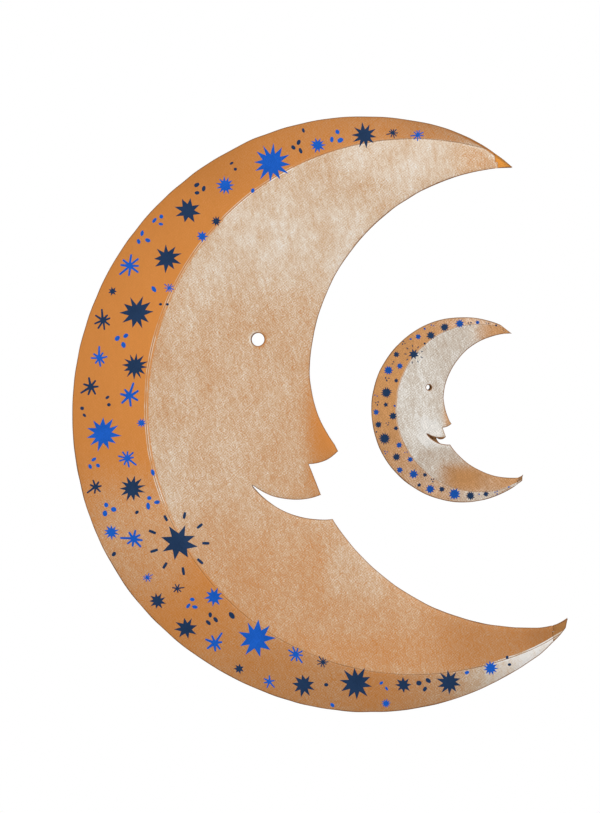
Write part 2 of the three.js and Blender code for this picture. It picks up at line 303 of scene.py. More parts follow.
# The rim of the eye: from where it is lit, where that ends, in widths of the eye, and what it
# adds to the pearl and the brightness
EYE_LIGHT_ANGLE = 160
EYE_LIGHT_END = (0.08, 0.24)
EYE_LIGHT_PEARL = 0.6
EYE_LIGHT_SHADE = 0.1

# The narrow shadow along the upper horn's outer edge, with a wider glow inside it: where they
# start, in half heights of the rim, over which angles they fade out, where they end, in their own
# widths, and what they add to the pearl and the brightness
SHADOW_START = 0.6
SHADOW_ANGLES = (66, 76)
SHADOW_END = (0.7, 1.2)
SHADOW_PEARL = -0.75
SHADOW_SHADE = -0.3
SHADOW_ON_REVERSE = -0.45
GLOW_WIDTH = 3
GLOW_PEARL = 0.18

# The reverse's painted light at the upper tip and painted shade at the lower one: how far in
# from a tip it looks different, how far beyond the score the lower tip's band is dark, both in
# half heights of the rim, and how bright they are
TIP_END = (0.12, 0.2)
LOWER_TIP_BAND = (0.003, 0.008)
UPPER_TIP_SHADE = 0.15
LOWER_TIP_SHADE = -0.37
LOWER_BAND_SHADE = -0.3
LOWER_TIP_TAN = 0.4  # share of tan in the reverse there

# How the crease catches the light: the least that it does, the angles at which it begins and ends
# on the left, the angles at which it begins on the lower horn, and how much it does there
CREASE_LIGHT_LEAST = 0.1
CREASE_LEFT_START = (96, 112)
CREASE_LEFT_END = (200, 212)
CREASE_LOWER_START = (292, 303)
CREASE_LOWER_LIGHT = 1.4
CREASE_TIP_LIGHT = 1.2


def soft_step(value, start, end):
    """0 up to start, 1 from end on, and a smooth rise between them"""
    share = min(1.0, max(0.0, (value - start) / (end - start)))
    return share * share * (3 - 2 * share)


def blot(patch, place):
    """How strong a patch is at a place, from 1 in its middle to 0"""
    across = (place.real - patch.x) / patch.across
    up = (place.imag - patch.z) / patch.up
    return math.exp(-(across**4) - up**4)


def with_patches(patches, place, pearl, shade):
    """The pearl and the brightness at a place, with the patches that lie there"""
    for patch in patches.values():
        strength = blot(patch, place)
        pearl += patch.pearl * strength
        shade += patch.shade * strength
    return min(PEARL_TOP, max(0.0, pearl)), shade


def band_look(moon, place):
    """How pale the band looks at a place, and how bright, as its fold turns it to the light"""
    degrees = math.degrees(cmath.phase(place))
    facing = math.cos(math.radians(degrees - PEARL_LIGHT_ANGLE))
    pearl = ((facing + 1) / PEARL_LIGHT_FULL) ** PEARL_LIGHT_FADE
    swing = math.cos(math.radians(degrees - BAND_BRIGHT_ANGLE))
    inside = moon.inside_rim(place)
    share_in = inside / (inside + max(LEAST_BAND, moon.beyond_score(place)))
    # Painted shade: brightest round BAND_BRIGHT_ANGLE, and brighter from the rim in to the crease
    shade = moon.band_shade + moon.band_shade_swing * swing + moon.band_roll * (share_in - 0.5)
    return with_patches(moon.band_patches, place, pearl, shade)


def eye_light(moon, place):
    """How the rim of the eye is lit: 1 on its left side, -1 on its right, 0 away from it"""
    off = place - moon.eye
    away = (abs(off) - moon.eye_diameter / 2) / moon.eye_diameter
    facing = math.cos(cmath.phase(off) - math.radians(EYE_LIGHT_ANGLE))
    return (1 - soft_step(away, *EYE_LIGHT_END)) * facing


def face_look(moon, place):
    """How pale the face looks at a place, and how bright: its painted sheen and painted shade"""
    height = place.imag / moon.rim_up
    lit = eye_light(moon, place)
    pearl = moon.face_pearl + moon.face_pearl_rise * soft_step(height, *FACE_RISE)
    pearl -= moon.face_pearl_fall * soft_step(-height, *FACE_FALL)
    pearl += EYE_LIGHT_PEARL * lit
    return with_patches(moon.face_patches, place, pearl, moon.face_shade + EYE_LIGHT_SHADE * lit)


def upper_rim(moon, place, width):
    """1 within a width of the upper horn's outer edge, and 0 away from it"""
    if place.real < 0 or place.imag < SHADOW_START * moon.rim_up:
        return 0.0
    nearest = min(abs(place - p) for p in moon.upper_edge)
    fade = 1 - soft_step(math.degrees(cmath.phase(place)), *SHADOW_ANGLES)
    start, end = SHADOW_END
    return fade * (1 - soft_step(nearest, width * start, width * end))


def painted_sheen_and_shade_of(moon, place):
    """How pale the card looks at a place, and how bright: its painted sheen and painted shade.
    The band's look reaches a little over the crease, most on the left."""
    left = max(0.0, -math.cos(cmath.phase(place)))
    edge = moon.pearl_edge * (CREASE_OVERLAP + (1 - CREASE_OVERLAP) * left)
    softness = moon.pearl_edge_softness
    band = soft_step(moon.beyond_score(place), edge - softness, edge + softness)
    looks = zip(face_look(moon, place), band_look(moon, place))
    pearl, shade = [face + (outside - face) * band for face, outside in looks]
    shadow = moon.rim_shadow * upper_rim(moon, place, moon.shadow_width)
    glow = moon.rim_shadow * upper_rim(moon, place, GLOW_WIDTH * moon.shadow_width)
    pearl = max(0.0, pearl + GLOW_PEARL * glow + SHADOW_PEARL * shadow)
    return pearl, shade * (1 + SHADOW_SHADE * shadow)


def near_tip(moon, tip, place):
    """1 at one of the horns' tips, and 0 away from it"""
    away = abs(place - moon.place_of(moon.outline[tip])) / moon.rim_up
    return 1 - soft_step(away, *TIP_END)


def reverse_shade_of(moon, place):
    """How bright the plain reverse is at a place, as painted light and painted shade: brighter at
    the upper tip, duller at the lower one and dark in its band there"""
    beyond = moon.beyond_score(place) / moon.rim_up
    lower = LOWER_TIP_SHADE + LOWER_BAND_SHADE * soft_step(beyond, *LOWER_TIP_BAND)
    shade = 1 + UPPER_TIP_SHADE * near_tip(moon, "upper_tip", place)
    shade += lower * near_tip(moon, "lower_tip", place)
    shadow = moon.rim_shadow * upper_rim(moon, place, moon.shadow_width)
    return shade + SHADOW_ON_REVERSE * shadow


def lower_tip_tan_of(moon, place):
    """How much the reverse turns tan at a place, at the lower tip where its painted shade lies"""
    return LOWER_TIP_TAN * near_tip(moon, "lower_tip", place)


def crease_light_of(moon, place):
    """How much the crease catches the light: on the left, and most at the lower tip"""
    degrees = math.degrees(cmath.phase(place)) % 360
    left = soft_step(degrees, *CREASE_LEFT_START) * (1 - soft_step(degrees, *CREASE_LEFT_END))
    lower_horn = CREASE_LOWER_LIGHT * soft_step(degrees, *CREASE_LOWER_START)
    tip = CREASE_TIP_LIGHT * near_tip(moon, "lower_tip", place)
    return max(CREASE_LIGHT_LEAST, left, lower_horn) + tip


# Lines in the moon's own plane, with a place as x + z i


def unit(v):
    """The direction of v, one long"""
    return v / abs(v)


def dot(a, b):
    """How far a reaches along b, times the length of b"""
    return (a.conjugate() * b).real


def bowed_edge(a, b, bow, step):
    """Points from a up to b, without b, on an arc that bends left by bow at its middle"""
    half = abs(b - a) / 2
    count = max(1, math.ceil(2 * half / step))
    if bow == 0:
        return [a + (b - a) * i / count for i in range(count)]
    radius = (half * half + bow * bow) / (2 * bow)
    centre = (a + b) / 2 + 1j * unit(b - a) * (bow - radius)
    turn = -4 * math.atan(bow / half)
    return [centre + (a - centre) * cmath.rect(1, turn * i / count) for i in range(count)]


def point_along(points, away):
    """The point on a run of points at a distance from where the run starts"""
    after = next(i for i, p in enumerate(points) if abs(p - points[0]) >= away)
    p, q = points[after - 1], points[after]
    near, far = abs(p - points[0]), abs(q - points[0])
    return p + (q - p) * (away - near) / (far - near)


def ray_to_round(start, direction, centre, half_width, half_height):
    """How far along a ray a round of two half widths is crossed, on the way out"""

    def squeezed(v):
        return complex(v.real / half_width, v.imag / half_height)

    offset, step = squeezed(start - centre), squeezed(direction)
    a, b, c = dot(step, step), dot(offset, step), dot(offset, offset) - 1
    return (math.sqrt(b * b - a * c) - b) / a


class Moon:
    """One moon: its outline, its folds and where it hangs"""

    def __init__(self, shape, sizes, look, node):
        self.__dict__.update(shape)
        self.__dict__.update(look)
        self.card = sizes.card / MM
        self.gap = sizes.leaf_gap / MM
        self.slope = sizes.band_slope
        low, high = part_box(node)
        left, top = low.x / MM, high.z / MM
        self.centre = complex(left + self.rim_across, top - self.rim_up)
        self.find_crossing()

    def rim_point(self, degrees):
        """The place on the rim at an angle above +X"""
        angle = math.radians(degrees)
        return complex(self.rim_across * math.cos(angle), self.rim_up * math.sin(angle))

    def place_of(self, corner):
        """The place of one of the outline's corners"""
        if "x" in corner:
            return complex(corner["x"], corner["z"])
        on_rim = self.rim_point(corner["angle"])
        return on_rim - unit(on_rim) * corner["inside"]

    def rim_points(self):
        """The rim from its upper end round to its lower one, without the lower one"""
        start = self.outline["rim_start"]["angle"]
        turn = self.outline["rim_end"]["angle"] + 360 - start
        count = round(math.radians(turn) * self.rim_up / self.cut_step)
        return [self.rim_point(start + turn * i / count) for i in range(count)]

    def face_points(self, mouth_corner):
        """The outline from the rim's lower end round the face to its upper end, without that"""
        edges = dict(self.outline)
        edges["mouth_corner"] = dict(
            edges["mouth_corner"], x=mouth_corner.real, z=mouth_corner.imag
        )
        corners = [self.place_of(corner) for corner in edges.values()]
        points = []
        for edge, a, b in zip(edges.values(), corners, corners[1:]):
            points += bowed_edge(a, b, edge["bow"], self.cut_step)
        return points

    def front_mouth_corner(self):
        """The mouth's corner on the front leaf"""
        return self.place_of(self.outline["mouth_corner"])

    def horn_middle(self, points, tip, away):
        """The middle of a horn at a distance from its tip"""
        start = min(range(len(points)), key=lambda i: abs(points[i] - tip))
        onward = points[start:] + points[:start]
        backward = onward[:1] + onward[:0:-1]
        return (point_along(onward, away) + point_along(backward, away)) / 2

    def find_crossing(self):
        """Finds the straight line through both slits and the pole half way along it"""
        face = self.face_points(self.front_mouth_corner())
        points = self.rim_points() + face
        upper_tip = self.place_of(self.outline["upper_tip"])
        lower_tip = self.place_of(self.outline["lower_tip"])
        upper = self.horn_middle(points, upper_tip, self.upper_slit_from_tip)
        lower = self.horn_middle(points, lower_tip, self.lower_slit_from_tip)
        self.pole = (upper + lower) / 2
        self.up = unit(upper - lower)
        self.left = 1j * self.up
        self.reach = abs(upper - self.pole)
        self.inner_radius = min(abs(p - self.pole) for p in face) - INNER_MARGIN
        bow = self.outline["upper_tip"]["bow"]
        rim_start = self.place_of(self.outline["rim_start"])
        self.upper_edge = bowed_edge(upper_tip, rim_start, bow, self.cut_step)

    def inside_rim(self, place):
        """How far inside the rim a place is, and 0 outside it"""
        roundness = math.hypot(place.real / self.rim_across, place.imag / self.rim_up)
        return max(0.0, 1 - roundness) * (self.rim_across + self.rim_up) / 2

    def in_slit(self, place):
        """Whether a place lies on the edge of one of the slits"""
        from_line = abs(dot(place - self.pole, self.left))
        return from_line < self.slit_width() * SLIT_EDGE_REACH

    def slit_width(self):
        """How wide a slit is, so that the sloping card goes through it"""
        return self.card * SLIT_EASE / math.tan(math.radians(self.tip_slope))

    def score_out(self, degrees):
        """How far the score is from its centre at an angle above +X"""
        swell = self.score_swell
        away = (degrees - swell["angle"]) / swell["spread"]
        return self.score_radius + swell["out"] * math.exp(-away * away)

    def beyond_score(self, place):
        """How far outside the score a place is, and less than 0 on the face"""
        off = place - self.score_centre
        return abs(off) - self.score_out(math.degrees(cmath.phase(off)))

    def score_line(self, out):
        """Points along the score on the leaf, or beside it by a distance"""
        count = round(math.tau * self.score_radius / self.cut_step)
        points = []
        for i in range(count):
            degrees = 360 * i / count - 180
            away = cmath.rect(self.score_out(degrees) + out, math.radians(degrees))
            points.append(self.score_centre + away)
        kept = [p for p in points if dot(p - self.pole, self.left) > 0]
        first = next(i for i, p in enumerate(kept) if abs(p - kept[i - 1]) > 2 * self.cut_step)
        return kept[first:] + kept[:first]

    def height(self, place):
        """How far a leaf's middle lies from the moon's middle plane, as it is folded"""
        direction = unit(place - self.pole)
        out = abs(place - self.pole)
        rim = ray_to_round(self.pole, direction, 0, self.rim_across, self.rim_up)
        radius = self.score_radius
        score = ray_to_round(self.pole, direction, self.score_centre, radius, radius)
        score = min(score, rim)
        from_line = dot(place - self.pole, self.left)
        tip_rise = math.tan(math.radians(self.tip_slope))
        contact = min(from_line * tip_rise, (self.card + self.gap) / 2)
        rise = math.tan(self.slope)
        ridge = self.inside_rim(self.pole + direction * score) * rise
        across = max(0.0, (score - out) / (score - self.inner_radius))
        arched = (1 - FACE_CROWN) * across + FACE_CROWN * across * across
        band = self.inside_rim(place) * rise
        fold = band if out > score else ridge * (1 - (1 - INNER_LIFT) * arched)
        faded = min(1.0, max(0.0, from_line / self.fold_fade))
        nose_tip = self.place_of(self.outline["nose_tip"])
        from_nose = abs(place - nose_tip) / self.nose_curl_reach
        return contact + fold * faded + self.nose_lift * math.exp(-from_nose * from_nose)

    def share_from_tips(self, place):
        """0 at the horns' tips and 1 well away from them"""
        return soft_step(dot(place - self.pole, self.left) / self.rim_up, *TIP_REACH)

    def relief(self, place, groove, seed):
        """What the score's fine groove and the card's waves add to its height"""
        lifted = min(1.0, self.inside_rim(place) / RELIEF_START)
        from_groove = (self.beyond_score(place) - self.bead_groove) / self.bead_width
        dent = -groove * math.exp(-from_groove * from_groove)
        at = Vector((place.real, place.imag, seed * WAVE_SEED_STEP)) / self.wave_length
        wave = self.wave * noise.noise(at)
        wave += self.wave * SMALL_WAVE * noise.noise(at * SMALL_WAVE_COUNT)
        return (dent + wave) * lifted


def moon_of(context, name):
    """The large or the small moon, with the sizes that the panel shows"""
    sizes = context.scene.moon_sizes
    if name == "large":
        return Moon(LARGE, sizes, LARGE_LOOK, "large_front_leaf")
    return Moon(SMALL, sizes, SMALL_LOOK, "small_front_leaf")


# The print: stars, asterisks and dots, strewn over the band

NAVY, BLUE = 1, 2

# A kind of motif: how it is drawn, how many there are, its smallest and largest radius, and its
# fewest and most points
Kind = namedtuple("Kind", "draw count least most fewest_points most_points")
Motif = namedtuple("Motif", "place radius shapes ink")

# How unevenly a star is drawn: how far its points and notches stray sideways, in steps from one
# point to the next, and how far out they lie, as shares of its radius
POINT_STRAY = 0.12
NOTCH_STRAY = 0.08
POINT_OUT = (0.84, 1.0)
NOTCH_OUT = 0.46
STUBBY_NOTCH_OUT = 0.55
NOTCH_SPREAD = 0.04

# The same for an asterisk's pen strokes, with their half width, as a share of the radius and at
# least, in millimetres, and how far the pen's round end sticks out, in half widths
STROKE_STRAY = 0.16
STROKE_OUT = (0.55, 0.85)
STROKE_NOTCH_OUT = (0.2, 0.3)
STROKE_SHARE = 0.075
STROKE_LEAST = 0.16
STROKE_END = 0.6

# Dots: how many sides one has, how much longer than round it is and how uneven, and for dots
# close together their size and their distance from the middle, as shares of the whole radius
DOT_SIDES = 10
DOT_LENGTH = (1.0, 1.35)
DOT_UNEVEN = (0.94, 1.06)
DOT_SHARE = 0.32
DOT_SIZES = (0.85, 1.1)
DOT_OUT = 0.66
DOT_STRAY = 0.1

# The star with rays: its radius and points, how far outside the score its middle lies, the share
# of its radius that its core has, and where its dashes start and end, with their half width
RAY_STAR_RADIUS = 15.5
RAY_STAR_POINTS = 8
RAY_STAR_OUT = 1.5
CORE_SHARE = 0.62
DASH_START = (0.68, 0.76)
DASH_END = (0.9, 1.0)
DASH_HALF_WIDTH = 0.035
DASH_SWELL = 1.3

# Where motifs go: how far from the rim at least, the width of band that one needs, in its radii,
# how much of the others' radii it keeps clear of, and how many places are tried for each
PRINT_MARGIN = 1.3
MOTIF_WIDTH = 1.75
MOTIF_CLEARANCE = 0.93
PLACE_TRIES = 60
PRINT_ENDS = (-2, -4)  # from the rim's ends to the angles between which motifs lie, in degrees
BLUE_CHANCES = (0.75, 0.5, 0.3)  # for a motif whose two nearest hold no, one or two blue ones
BAND_STEPS_TO_MIDDLE = 280  # steps in which the band is measured, from the rim to its middle
BAND_STEPS = 80  # how many of them are tried


def strayed(draw, number, points, stray):
    """The angle of one of the points round a motif, a little astray"""
    return (number + draw.uniform(-stray, stray)) * math.tau / points


def star(draw, radius, points, notch_out=NOTCH_OUT):
    """A star cut with straight sides, with points of unlike length"""
    shape = []
    turn = draw.uniform(0, math.tau)
    for i in range(points):
        tip = turn + strayed(draw, i, points, POINT_STRAY)
        notch = turn + strayed(draw, i + 0.5, points, NOTCH_STRAY)
        shape.append(cmath.rect(radius * draw.uniform(*POINT_OUT), tip))
        out = notch_out + draw.uniform(-NOTCH_SPREAD, NOTCH_SPREAD)
        shape.append(cmath.rect(radius * out, notch))
    return [shape]


def stubby_star(draw, radius, points):
    """A star with short points, as it comes out when printed small"""
    return star(draw, radius, points, STUBBY_NOTCH_OUT)


def asterisk(draw, radius, points):
    """Thin strokes that meet in the middle, as made with a pen, the first one longest"""
    shape = []
    turn = draw.uniform(0, math.tau)
    stroke = max(STROKE_LEAST, radius * STROKE_SHARE)
    for i in range(points):
        tip = turn + strayed(draw, i, points, STROKE_STRAY)
        notch = turn + (i + 0.5) * math.tau / points
        end = radius * (1.0 if i == 0 else draw.uniform(*STROKE_OUT))
        side = 1j * cmath.rect(stroke, tip)
        shape.append(cmath.rect(end, tip) - side)
        shape.append(cmath.rect(end + stroke * STROKE_END, tip))
        shape.append(cmath.rect(end, tip) + side)
        shape.append(cmath.rect(radius * draw.uniform(*STROKE_NOTCH_OUT), notch))
    return [shape]


def dot_shape(draw, radius):
    """A dot that isn't quite round"""
    long, turn = draw.uniform(*DOT_LENGTH), draw.uniform(0, math.tau)
    shape = []
    for i in range(DOT_SIDES):
        p = cmath.rect(radius, math.tau * i / DOT_SIDES)
        p = complex(p.real * long, p.imag / long) * draw.uniform(*DOT_UNEVEN)
        shape.append(p * cmath.rect(1, turn))
    return shape


def dots(draw, radius, points):
    """One, two or three dots close together"""
    if points == 1:
        return [dot_shape(draw, radius)]
    size = radius * DOT_SHARE
    turn = draw.uniform(0, math.tau)
    shapes = []
    for i in range(points):
        middle = cmath.rect(radius * DOT_OUT, turn + strayed(draw, i, points, DOT_STRAY))
        shapes.append([middle + p for p in dot_shape(draw, size * draw.uniform(*DOT_SIZES))])
    return shapes


def dash(near, far, wide):
    """A short dash along +X that swells a little in its middle"""
    middle = (near + far) / 2
    side = [(near, wide), (middle, wide * DASH_SWELL), (far, wide)]
    return [complex(x, -z) for x, z in side] + [complex(x, z) for x, z in reversed(side)]


def ray_star(draw, radius, points):
    """A star with a ring of short dashes round it"""
    shapes = [[p * CORE_SHARE for p in star(draw, radius, points)[0]]]
    turn = draw.uniform(0, math.tau)
    for i in range(points + 1):
        way = cmath.rect(1, turn + i * math.tau / (points + 1))
        near = radius * draw.uniform(*DASH_START)
        far = radius * draw.uniform(*DASH_END)
        shapes.append([way * p for p in dash(near, far, radius * DASH_HALF_WIDTH)])
    return shapes


LARGE_PRINT = [
    Kind(star, 5, 8.6, 10.0, 9, 13),
    Kind(star, 8, 5.8, 7.4, 8, 12),
    Kind(star, 7, 4.0, 5.2, 8, 11),
    Kind(asterisk, 10, 4.6, 6.4, 7, 9),
    Kind(asterisk, 7, 2.8, 3.8, 6, 9),
    Kind(star, 6, 2.2, 3.1, 7, 10),
    Kind(dots, 12, 3.0, 3.8, 3, 3),
    Kind(dots, 6, 2.4, 2.9, 2, 2),
    Kind(dots, 10, 0.8, 1.5, 1, 1),
]

# Sizes here are also those on the large moon, and are brought down to the small one
SMALL_PRINT = [
    Kind(stubby_star, 3, 9.4, 10.8, 11, 14),
    Kind(stubby_star, 9, 7.0, 8.4, 8, 11),
    Kind(stubby_star, 10, 5.0, 6.2, 7, 9),
    Kind(stubby_star, 6, 3.6, 4.4, 5, 7),
    Kind(dots, 8, 3.2, 4.0, 3, 3),
    Kind(dots, 5, 2.8, 3.2, 2, 2),
    Kind(dots, 8, 1.2, 1.9, 1, 1),
]


def band_width(moon, degrees):
    """How wide the band is at an angle above +X, from the rim in to the score"""
    on_rim = moon.rim_point(degrees)
    inward = -unit(on_rim)
    for step in range(1, BAND_STEPS):
        inside = step * moon.rim_up / BAND_STEPS_TO_MIDDLE
        if moon.beyond_score(on_rim + inward * inside) < 0:
            return inside
    return 0.0


def in_from_rim(moon, degrees, inside):
    """The place at an angle above +X and a distance inside the rim"""
    on_rim = moon.rim_point(degrees)
    return on_rim - unit(on_rim) * inside


def roomy_place(moon, draw, radius, margin, motifs):
    """Of some places drawn at random on the band, the one with the most room round it, and how
    much room that is"""
    start = moon.outline["rim_start"]["angle"] + PRINT_ENDS[0]
    end = moon.outline["rim_end"]["angle"] + 360 + PRINT_ENDS[1]
    best, most_room = None, 0.0
    for _ in range(PLACE_TRIES):
        degrees = draw.uniform(start, end)
        width = band_width(moon, degrees)
        inside = radius + margin + draw.random() * (width - radius * MOTIF_WIDTH)
        if width < MOTIF_WIDTH * radius + margin:
            continue
        place = in_from_rim(moon, degrees, inside)
        room = min(abs(place - m.place) - m.radius * MOTIF_CLEARANCE for m in motifs) - radius
        if room > most_room:
            best, most_room = place, room
    return best, most_room


def strewn(moon, seed):
    """The motifs of one leaf's print, spread evenly over the band by size, large ones first"""
    draw = random.Random(seed)
    scale = moon.rim_up / LARGE["rim_up"]
    margin = PRINT_MARGIN * scale
    shapes = ray_star(draw, RAY_STAR_RADIUS * scale, RAY_STAR_POINTS)
    inside = band_width(moon, moon.ray_star_angle) - RAY_STAR_OUT * scale
    middle = in_from_rim(moon, moon.ray_star_angle, inside)
    motifs = [Motif(middle, RAY_STAR_RADIUS * scale, shapes, NAVY)]
    for kind in LARGE_PRINT if moon.name == "large" else SMALL_PRINT:
        for _ in range(kind.count):
            radius = draw.uniform(kind.least, kind.most) * scale
            place, room = roomy_place(moon, draw, radius, margin, motifs)
            if place is None or room < margin / 2:
                continue
            points = draw.randint(kind.fewest_points, kind.most_points)
            shapes = kind.draw(draw, radius, points)
            near = sorted(motifs, key=lambda m: abs(m.place - place))[:2]
            blues = sum(m.ink == BLUE for m in near)
            ink = BLUE if draw.random() < BLUE_CHANCES[blues] else NAVY
            motifs.append(Motif(place, radius, shapes, ink))
    return motifs


# The leaves

OUTSIDE, CUT_EDGE, REVERSE = 0, 1, 2

EYE_SIDES = 48
EYE_RINGS = (1, 3)  # rings of points round the eye, in widths of the edges' rounding
WOBBLE_LENGTH = 9  # from one wander of the scissors to the next
WOBBLE_SEED_STEP = 3.7  # how far apart in the noise the wanders of two seeds lie
RIM_DEPTH = 1  # how far inside the rim the outline still goes with the rim's swells
ROW_SPACING = 0.866  # from one row of points to the next, in steps between the points in a row
LINE_CLEARANCE = 0.45  # how far a point inside the leaf stays from all lines, in steps
SHADOW_LINES = (0.7, 1.2, 2.1, 3.6)  # lines along the upper horn's edge, in its shadow's widths
SHADOW_LINE_TRIM = 4  # points left out at both ends of such a line
PRINT_STEP = 2  # longest side of a motif's outline, in steps of the leaf's outline
INSIDE_ONLY = 1  # the kind of triangulation that leaves out what lies outside the leaf
MERGE_WITHIN = 1e-4  # points that are nearer to each other become one
THIN_EDGE = 0.4  # how thick the card is at its rounded edges, of its thickness
INK_SINK = 3  # an ink film stands out this many times as far as it reaches into the card
SHARP_ANGLE = math.radians(40)  # faces that meet at a larger angle are shaded apart


def inward_at(points, i):
    """The direction inward from a closed run of points at one of them"""
    return 1j * unit(points[(i + 1) % len(points)] - points[i - 1])


def wobbled(moon, points, most, seed):
    """A closed run of points, each moved in or out a little, as scissors do"""
    moved = []
    for i, p in enumerate(points):
        at = Vector((p.real, p.imag, seed * WOBBLE_SEED_STEP)) / WOBBLE_LENGTH
        by = most * (0.5 + noise.noise(at))
        if moon.inside_rim(p) < RIM_DEPTH:
            degrees = math.degrees(cmath.phase(p)) % 360
            for angle, spread, out in moon.swells:
                by -= out * math.exp(-(((degrees - angle) / spread) ** 2))
        moved.append(p + inward_at(points, i) * by)
    return moved


def inset(points, by):
    """A closed run of points moved inward"""
    return [p + inward_at(points, i) * by for i, p in enumerate(points)]


def circle(centre, radius, count):
    """Points round a circle"""
    return [centre + cmath.rect(radius, math.tau * i / count) for i in range(count)]


def finer(points, step):
    """A closed run of points with more points on its long sides"""
    result = []
    for a, b in zip(points, points[1:] + points[:1]):
        count = max(1, math.ceil(abs(b - a) / step))
        result += [a + (b - a) * i / count for i in range(count)]
    return result


def slit(moon, to_upper, start, end):
    """The slit along the line of the slits, from one distance to another from the pole"""
    a = moon.pole + moon.up * to_upper * start
    b = moon.pole + moon.up * to_upper * end
    side = 1j * unit(b - a) * moon.slit_width() / 2
    return finer([a - side, b - side, b + side, a + side], moon.cut_step)


class Cutting:
    """A flat leaf cut into triangles along its outline, holes, score and print"""

    def __init__(self):
        self.points = []
        self.edges = []
        self.faces = []
        self.taken = {}
        self.cell = 1.0

    def add(self, points):
        """Adds points and gives their numbers"""
        first = len(self.points)
        self.points += points
        for p in points:
            self.taken.setdefault(self.cell_of(p), []).append(p)
        return list(range(first, len(self.points)))

    def cell_of(self, p):
        """The cell of the search grid that holds a point"""
        return int(p.real // self.cell), int(p.imag // self.cell)

    def closed(self, points):
        """Adds a closed line that bounds a face, and gives the face's number"""
        self.faces.append(self.add(points))
        return len(self.faces) - 1

    def line(self, points, joined=False):
        """Adds a line for triangles to follow"""
        numbers = self.add(points)
        self.edges += list(zip(numbers, numbers[1:]))
        if joined:
            self.edges.append((numbers[-1], numbers[0]))

    def free(self, p, clearance):
        """Whether no line runs near a point"""
        column, row = self.cell_of(p)
        reach = math.ceil(clearance / self.cell)
        for i in range(column - reach, column + reach + 1):
            for j in range(row - reach, row + reach + 1):
                if any(abs(q - p) < clearance for q in self.taken.get((i, j), ())):
                    return False
        return True

    def fill(self, moon):
        """Adds points over the whole leaf, where no line runs"""
        step = moon.grid_step
        rows = math.ceil(moon.rim_up / step / ROW_SPACING)
        columns = math.ceil(moon.rim_across / step) + 1
        inner = []
        for row in range(-rows, rows + 1):
            for column in range(-columns, columns + 1):
                p = complex((column + (row % 2) / 2) * step, row * step * ROW_SPACING)
                if moon.inside_rim(p) > step / 3 and abs(p - moon.pole) > moon.inner_radius:
                    if self.free(p, step * LINE_CLEARANCE):
                        inner.append(p)
        self.points += inner

    def triangles(self):
        """The points and triangles of the cut leaf, with the faces each triangle lies in"""
        flat = [Vector((p.real, p.imag)) for p in self.points]
        cut = delaunay_2d_cdt(flat, self.edges, self.faces, INSIDE_ONLY, MERGE_WITHIN, True)
        places, _, triangles, _, _, owners = cut
        return [complex(v.x, v.y) for v in places], triangles, owners


def cut_leaf(moon, side, sizes, seed):
    """Cuts a leaf flat: its points, its triangles, and the ink that each triangle carries"""
    is_back = side > 0
    mouth = moon.back_mouth_corner if is_back else moon.front_mouth_corner()
    shift = moon.back_shift if is_back else 0
    outline = moon.rim_points() + moon.face_points(mouth)
    outline = [p + shift * moon.share_from_tips(p) for p in outline]
    outline = wobbled(moon, outline, sizes.cut_wobble / MM, seed)
    cutting = Cutting()
    leaf_face = cutting.closed(outline)
    bevel = sizes.edge_bevel / MM
    cutting.line(inset(outline, bevel), True)
    eye = moon.eye + (moon.back_eye_shift if is_back else 0)
    holes = {cutting.closed(circle(eye, moon.eye_diameter / 2, EYE_SIDES))}
    for bevels in EYE_RINGS:
        cutting.line(circle(eye, moon.eye_diameter / 2 + bevels * bevel, EYE_SIDES), True)
    slit_end = moon.reach + (SLIT_END_GAP if is_back else -SLIT_END_GAP)
    slit_mouth = moon.inner_radius if is_back else moon.reach + moon.upper_slit_from_tip
    for to_upper in (1, -1):
        cut = slit(moon, to_upper, *sorted((slit_end, slit_mouth)))
        holes.add(cutting.closed(cut))
        cutting.line(inset(cut, -bevel), True)
    for out in moon.bead_lines:
        cutting.line(moon.score_line(out))
    for away in SHADOW_LINES:
        beside = inset(moon.upper_edge, away * moon.shadow_width)
        cutting.line(beside[SHADOW_LINE_TRIM:-SHADOW_LINE_TRIM])
    inks = {}
    for motif in strewn(moon, seed):
        for shape in motif.shapes:
            points = finer([motif.place + p for p in shape], PRINT_STEP * moon.cut_step)
            inks[cutting.closed(points)] = motif.ink
    cutting.fill(moon)
    places, triangles, owners = cutting.triangles()
    kept, ink_of = [], []
    for triangle, owner in zip(triangles, owners):
        if leaf_face not in owner or holes.intersection(owner):
            continue
        kept.append(list(triangle))
        ink_of.append(max((inks.get(face, 0) for face in owner), default=0))
    return places, kept, ink_of


def rim_edges(triangles):
    """The directed edges that only one triangle uses, along the outline and the holes"""
    single = {}
    for triangle in triangles:
        for a, b in zip(triangle, triangle[1:] + triangle[:1]):
            if (b, a) in single:
                del single[b, a]
            else:
                single[a, b] = True
    return list(single)


def renumbered(triangles):
    """The old numbers of the points that triangles use, and the triangles with new ones"""
    numbers = {}
    for triangle in triangles:
        for v in triangle:
            numbers.setdefault(v, len(numbers))
    return list(numbers), [[numbers[v] for v in triangle] for triangle in triangles]


def sheet_faces(triangles, edges, count):
    """The faces of a closed sheet: its triangles, the same on its other side, whose points have
    numbers higher by count, and its sides along the edges"""
    other = [[v + count for v in reversed(triangle)] for triangle in triangles]
    return triangles + other + [[b, a, a + count, b + count] for a, b in edges]


def add_object(name, vertices, faces):
    """A new smooth mesh object in the scene, from vertices in metres"""
    mesh = bpy.data.meshes.new(name)
    mesh.from_pydata(vertices, [], faces)
    mesh.polygons.foreach_set("use_smooth", [True] * len(mesh.polygons))
    obj = bpy.data.objects.new(name, mesh)
    bpy.context.scene.collection.objects.link(obj)
    return obj


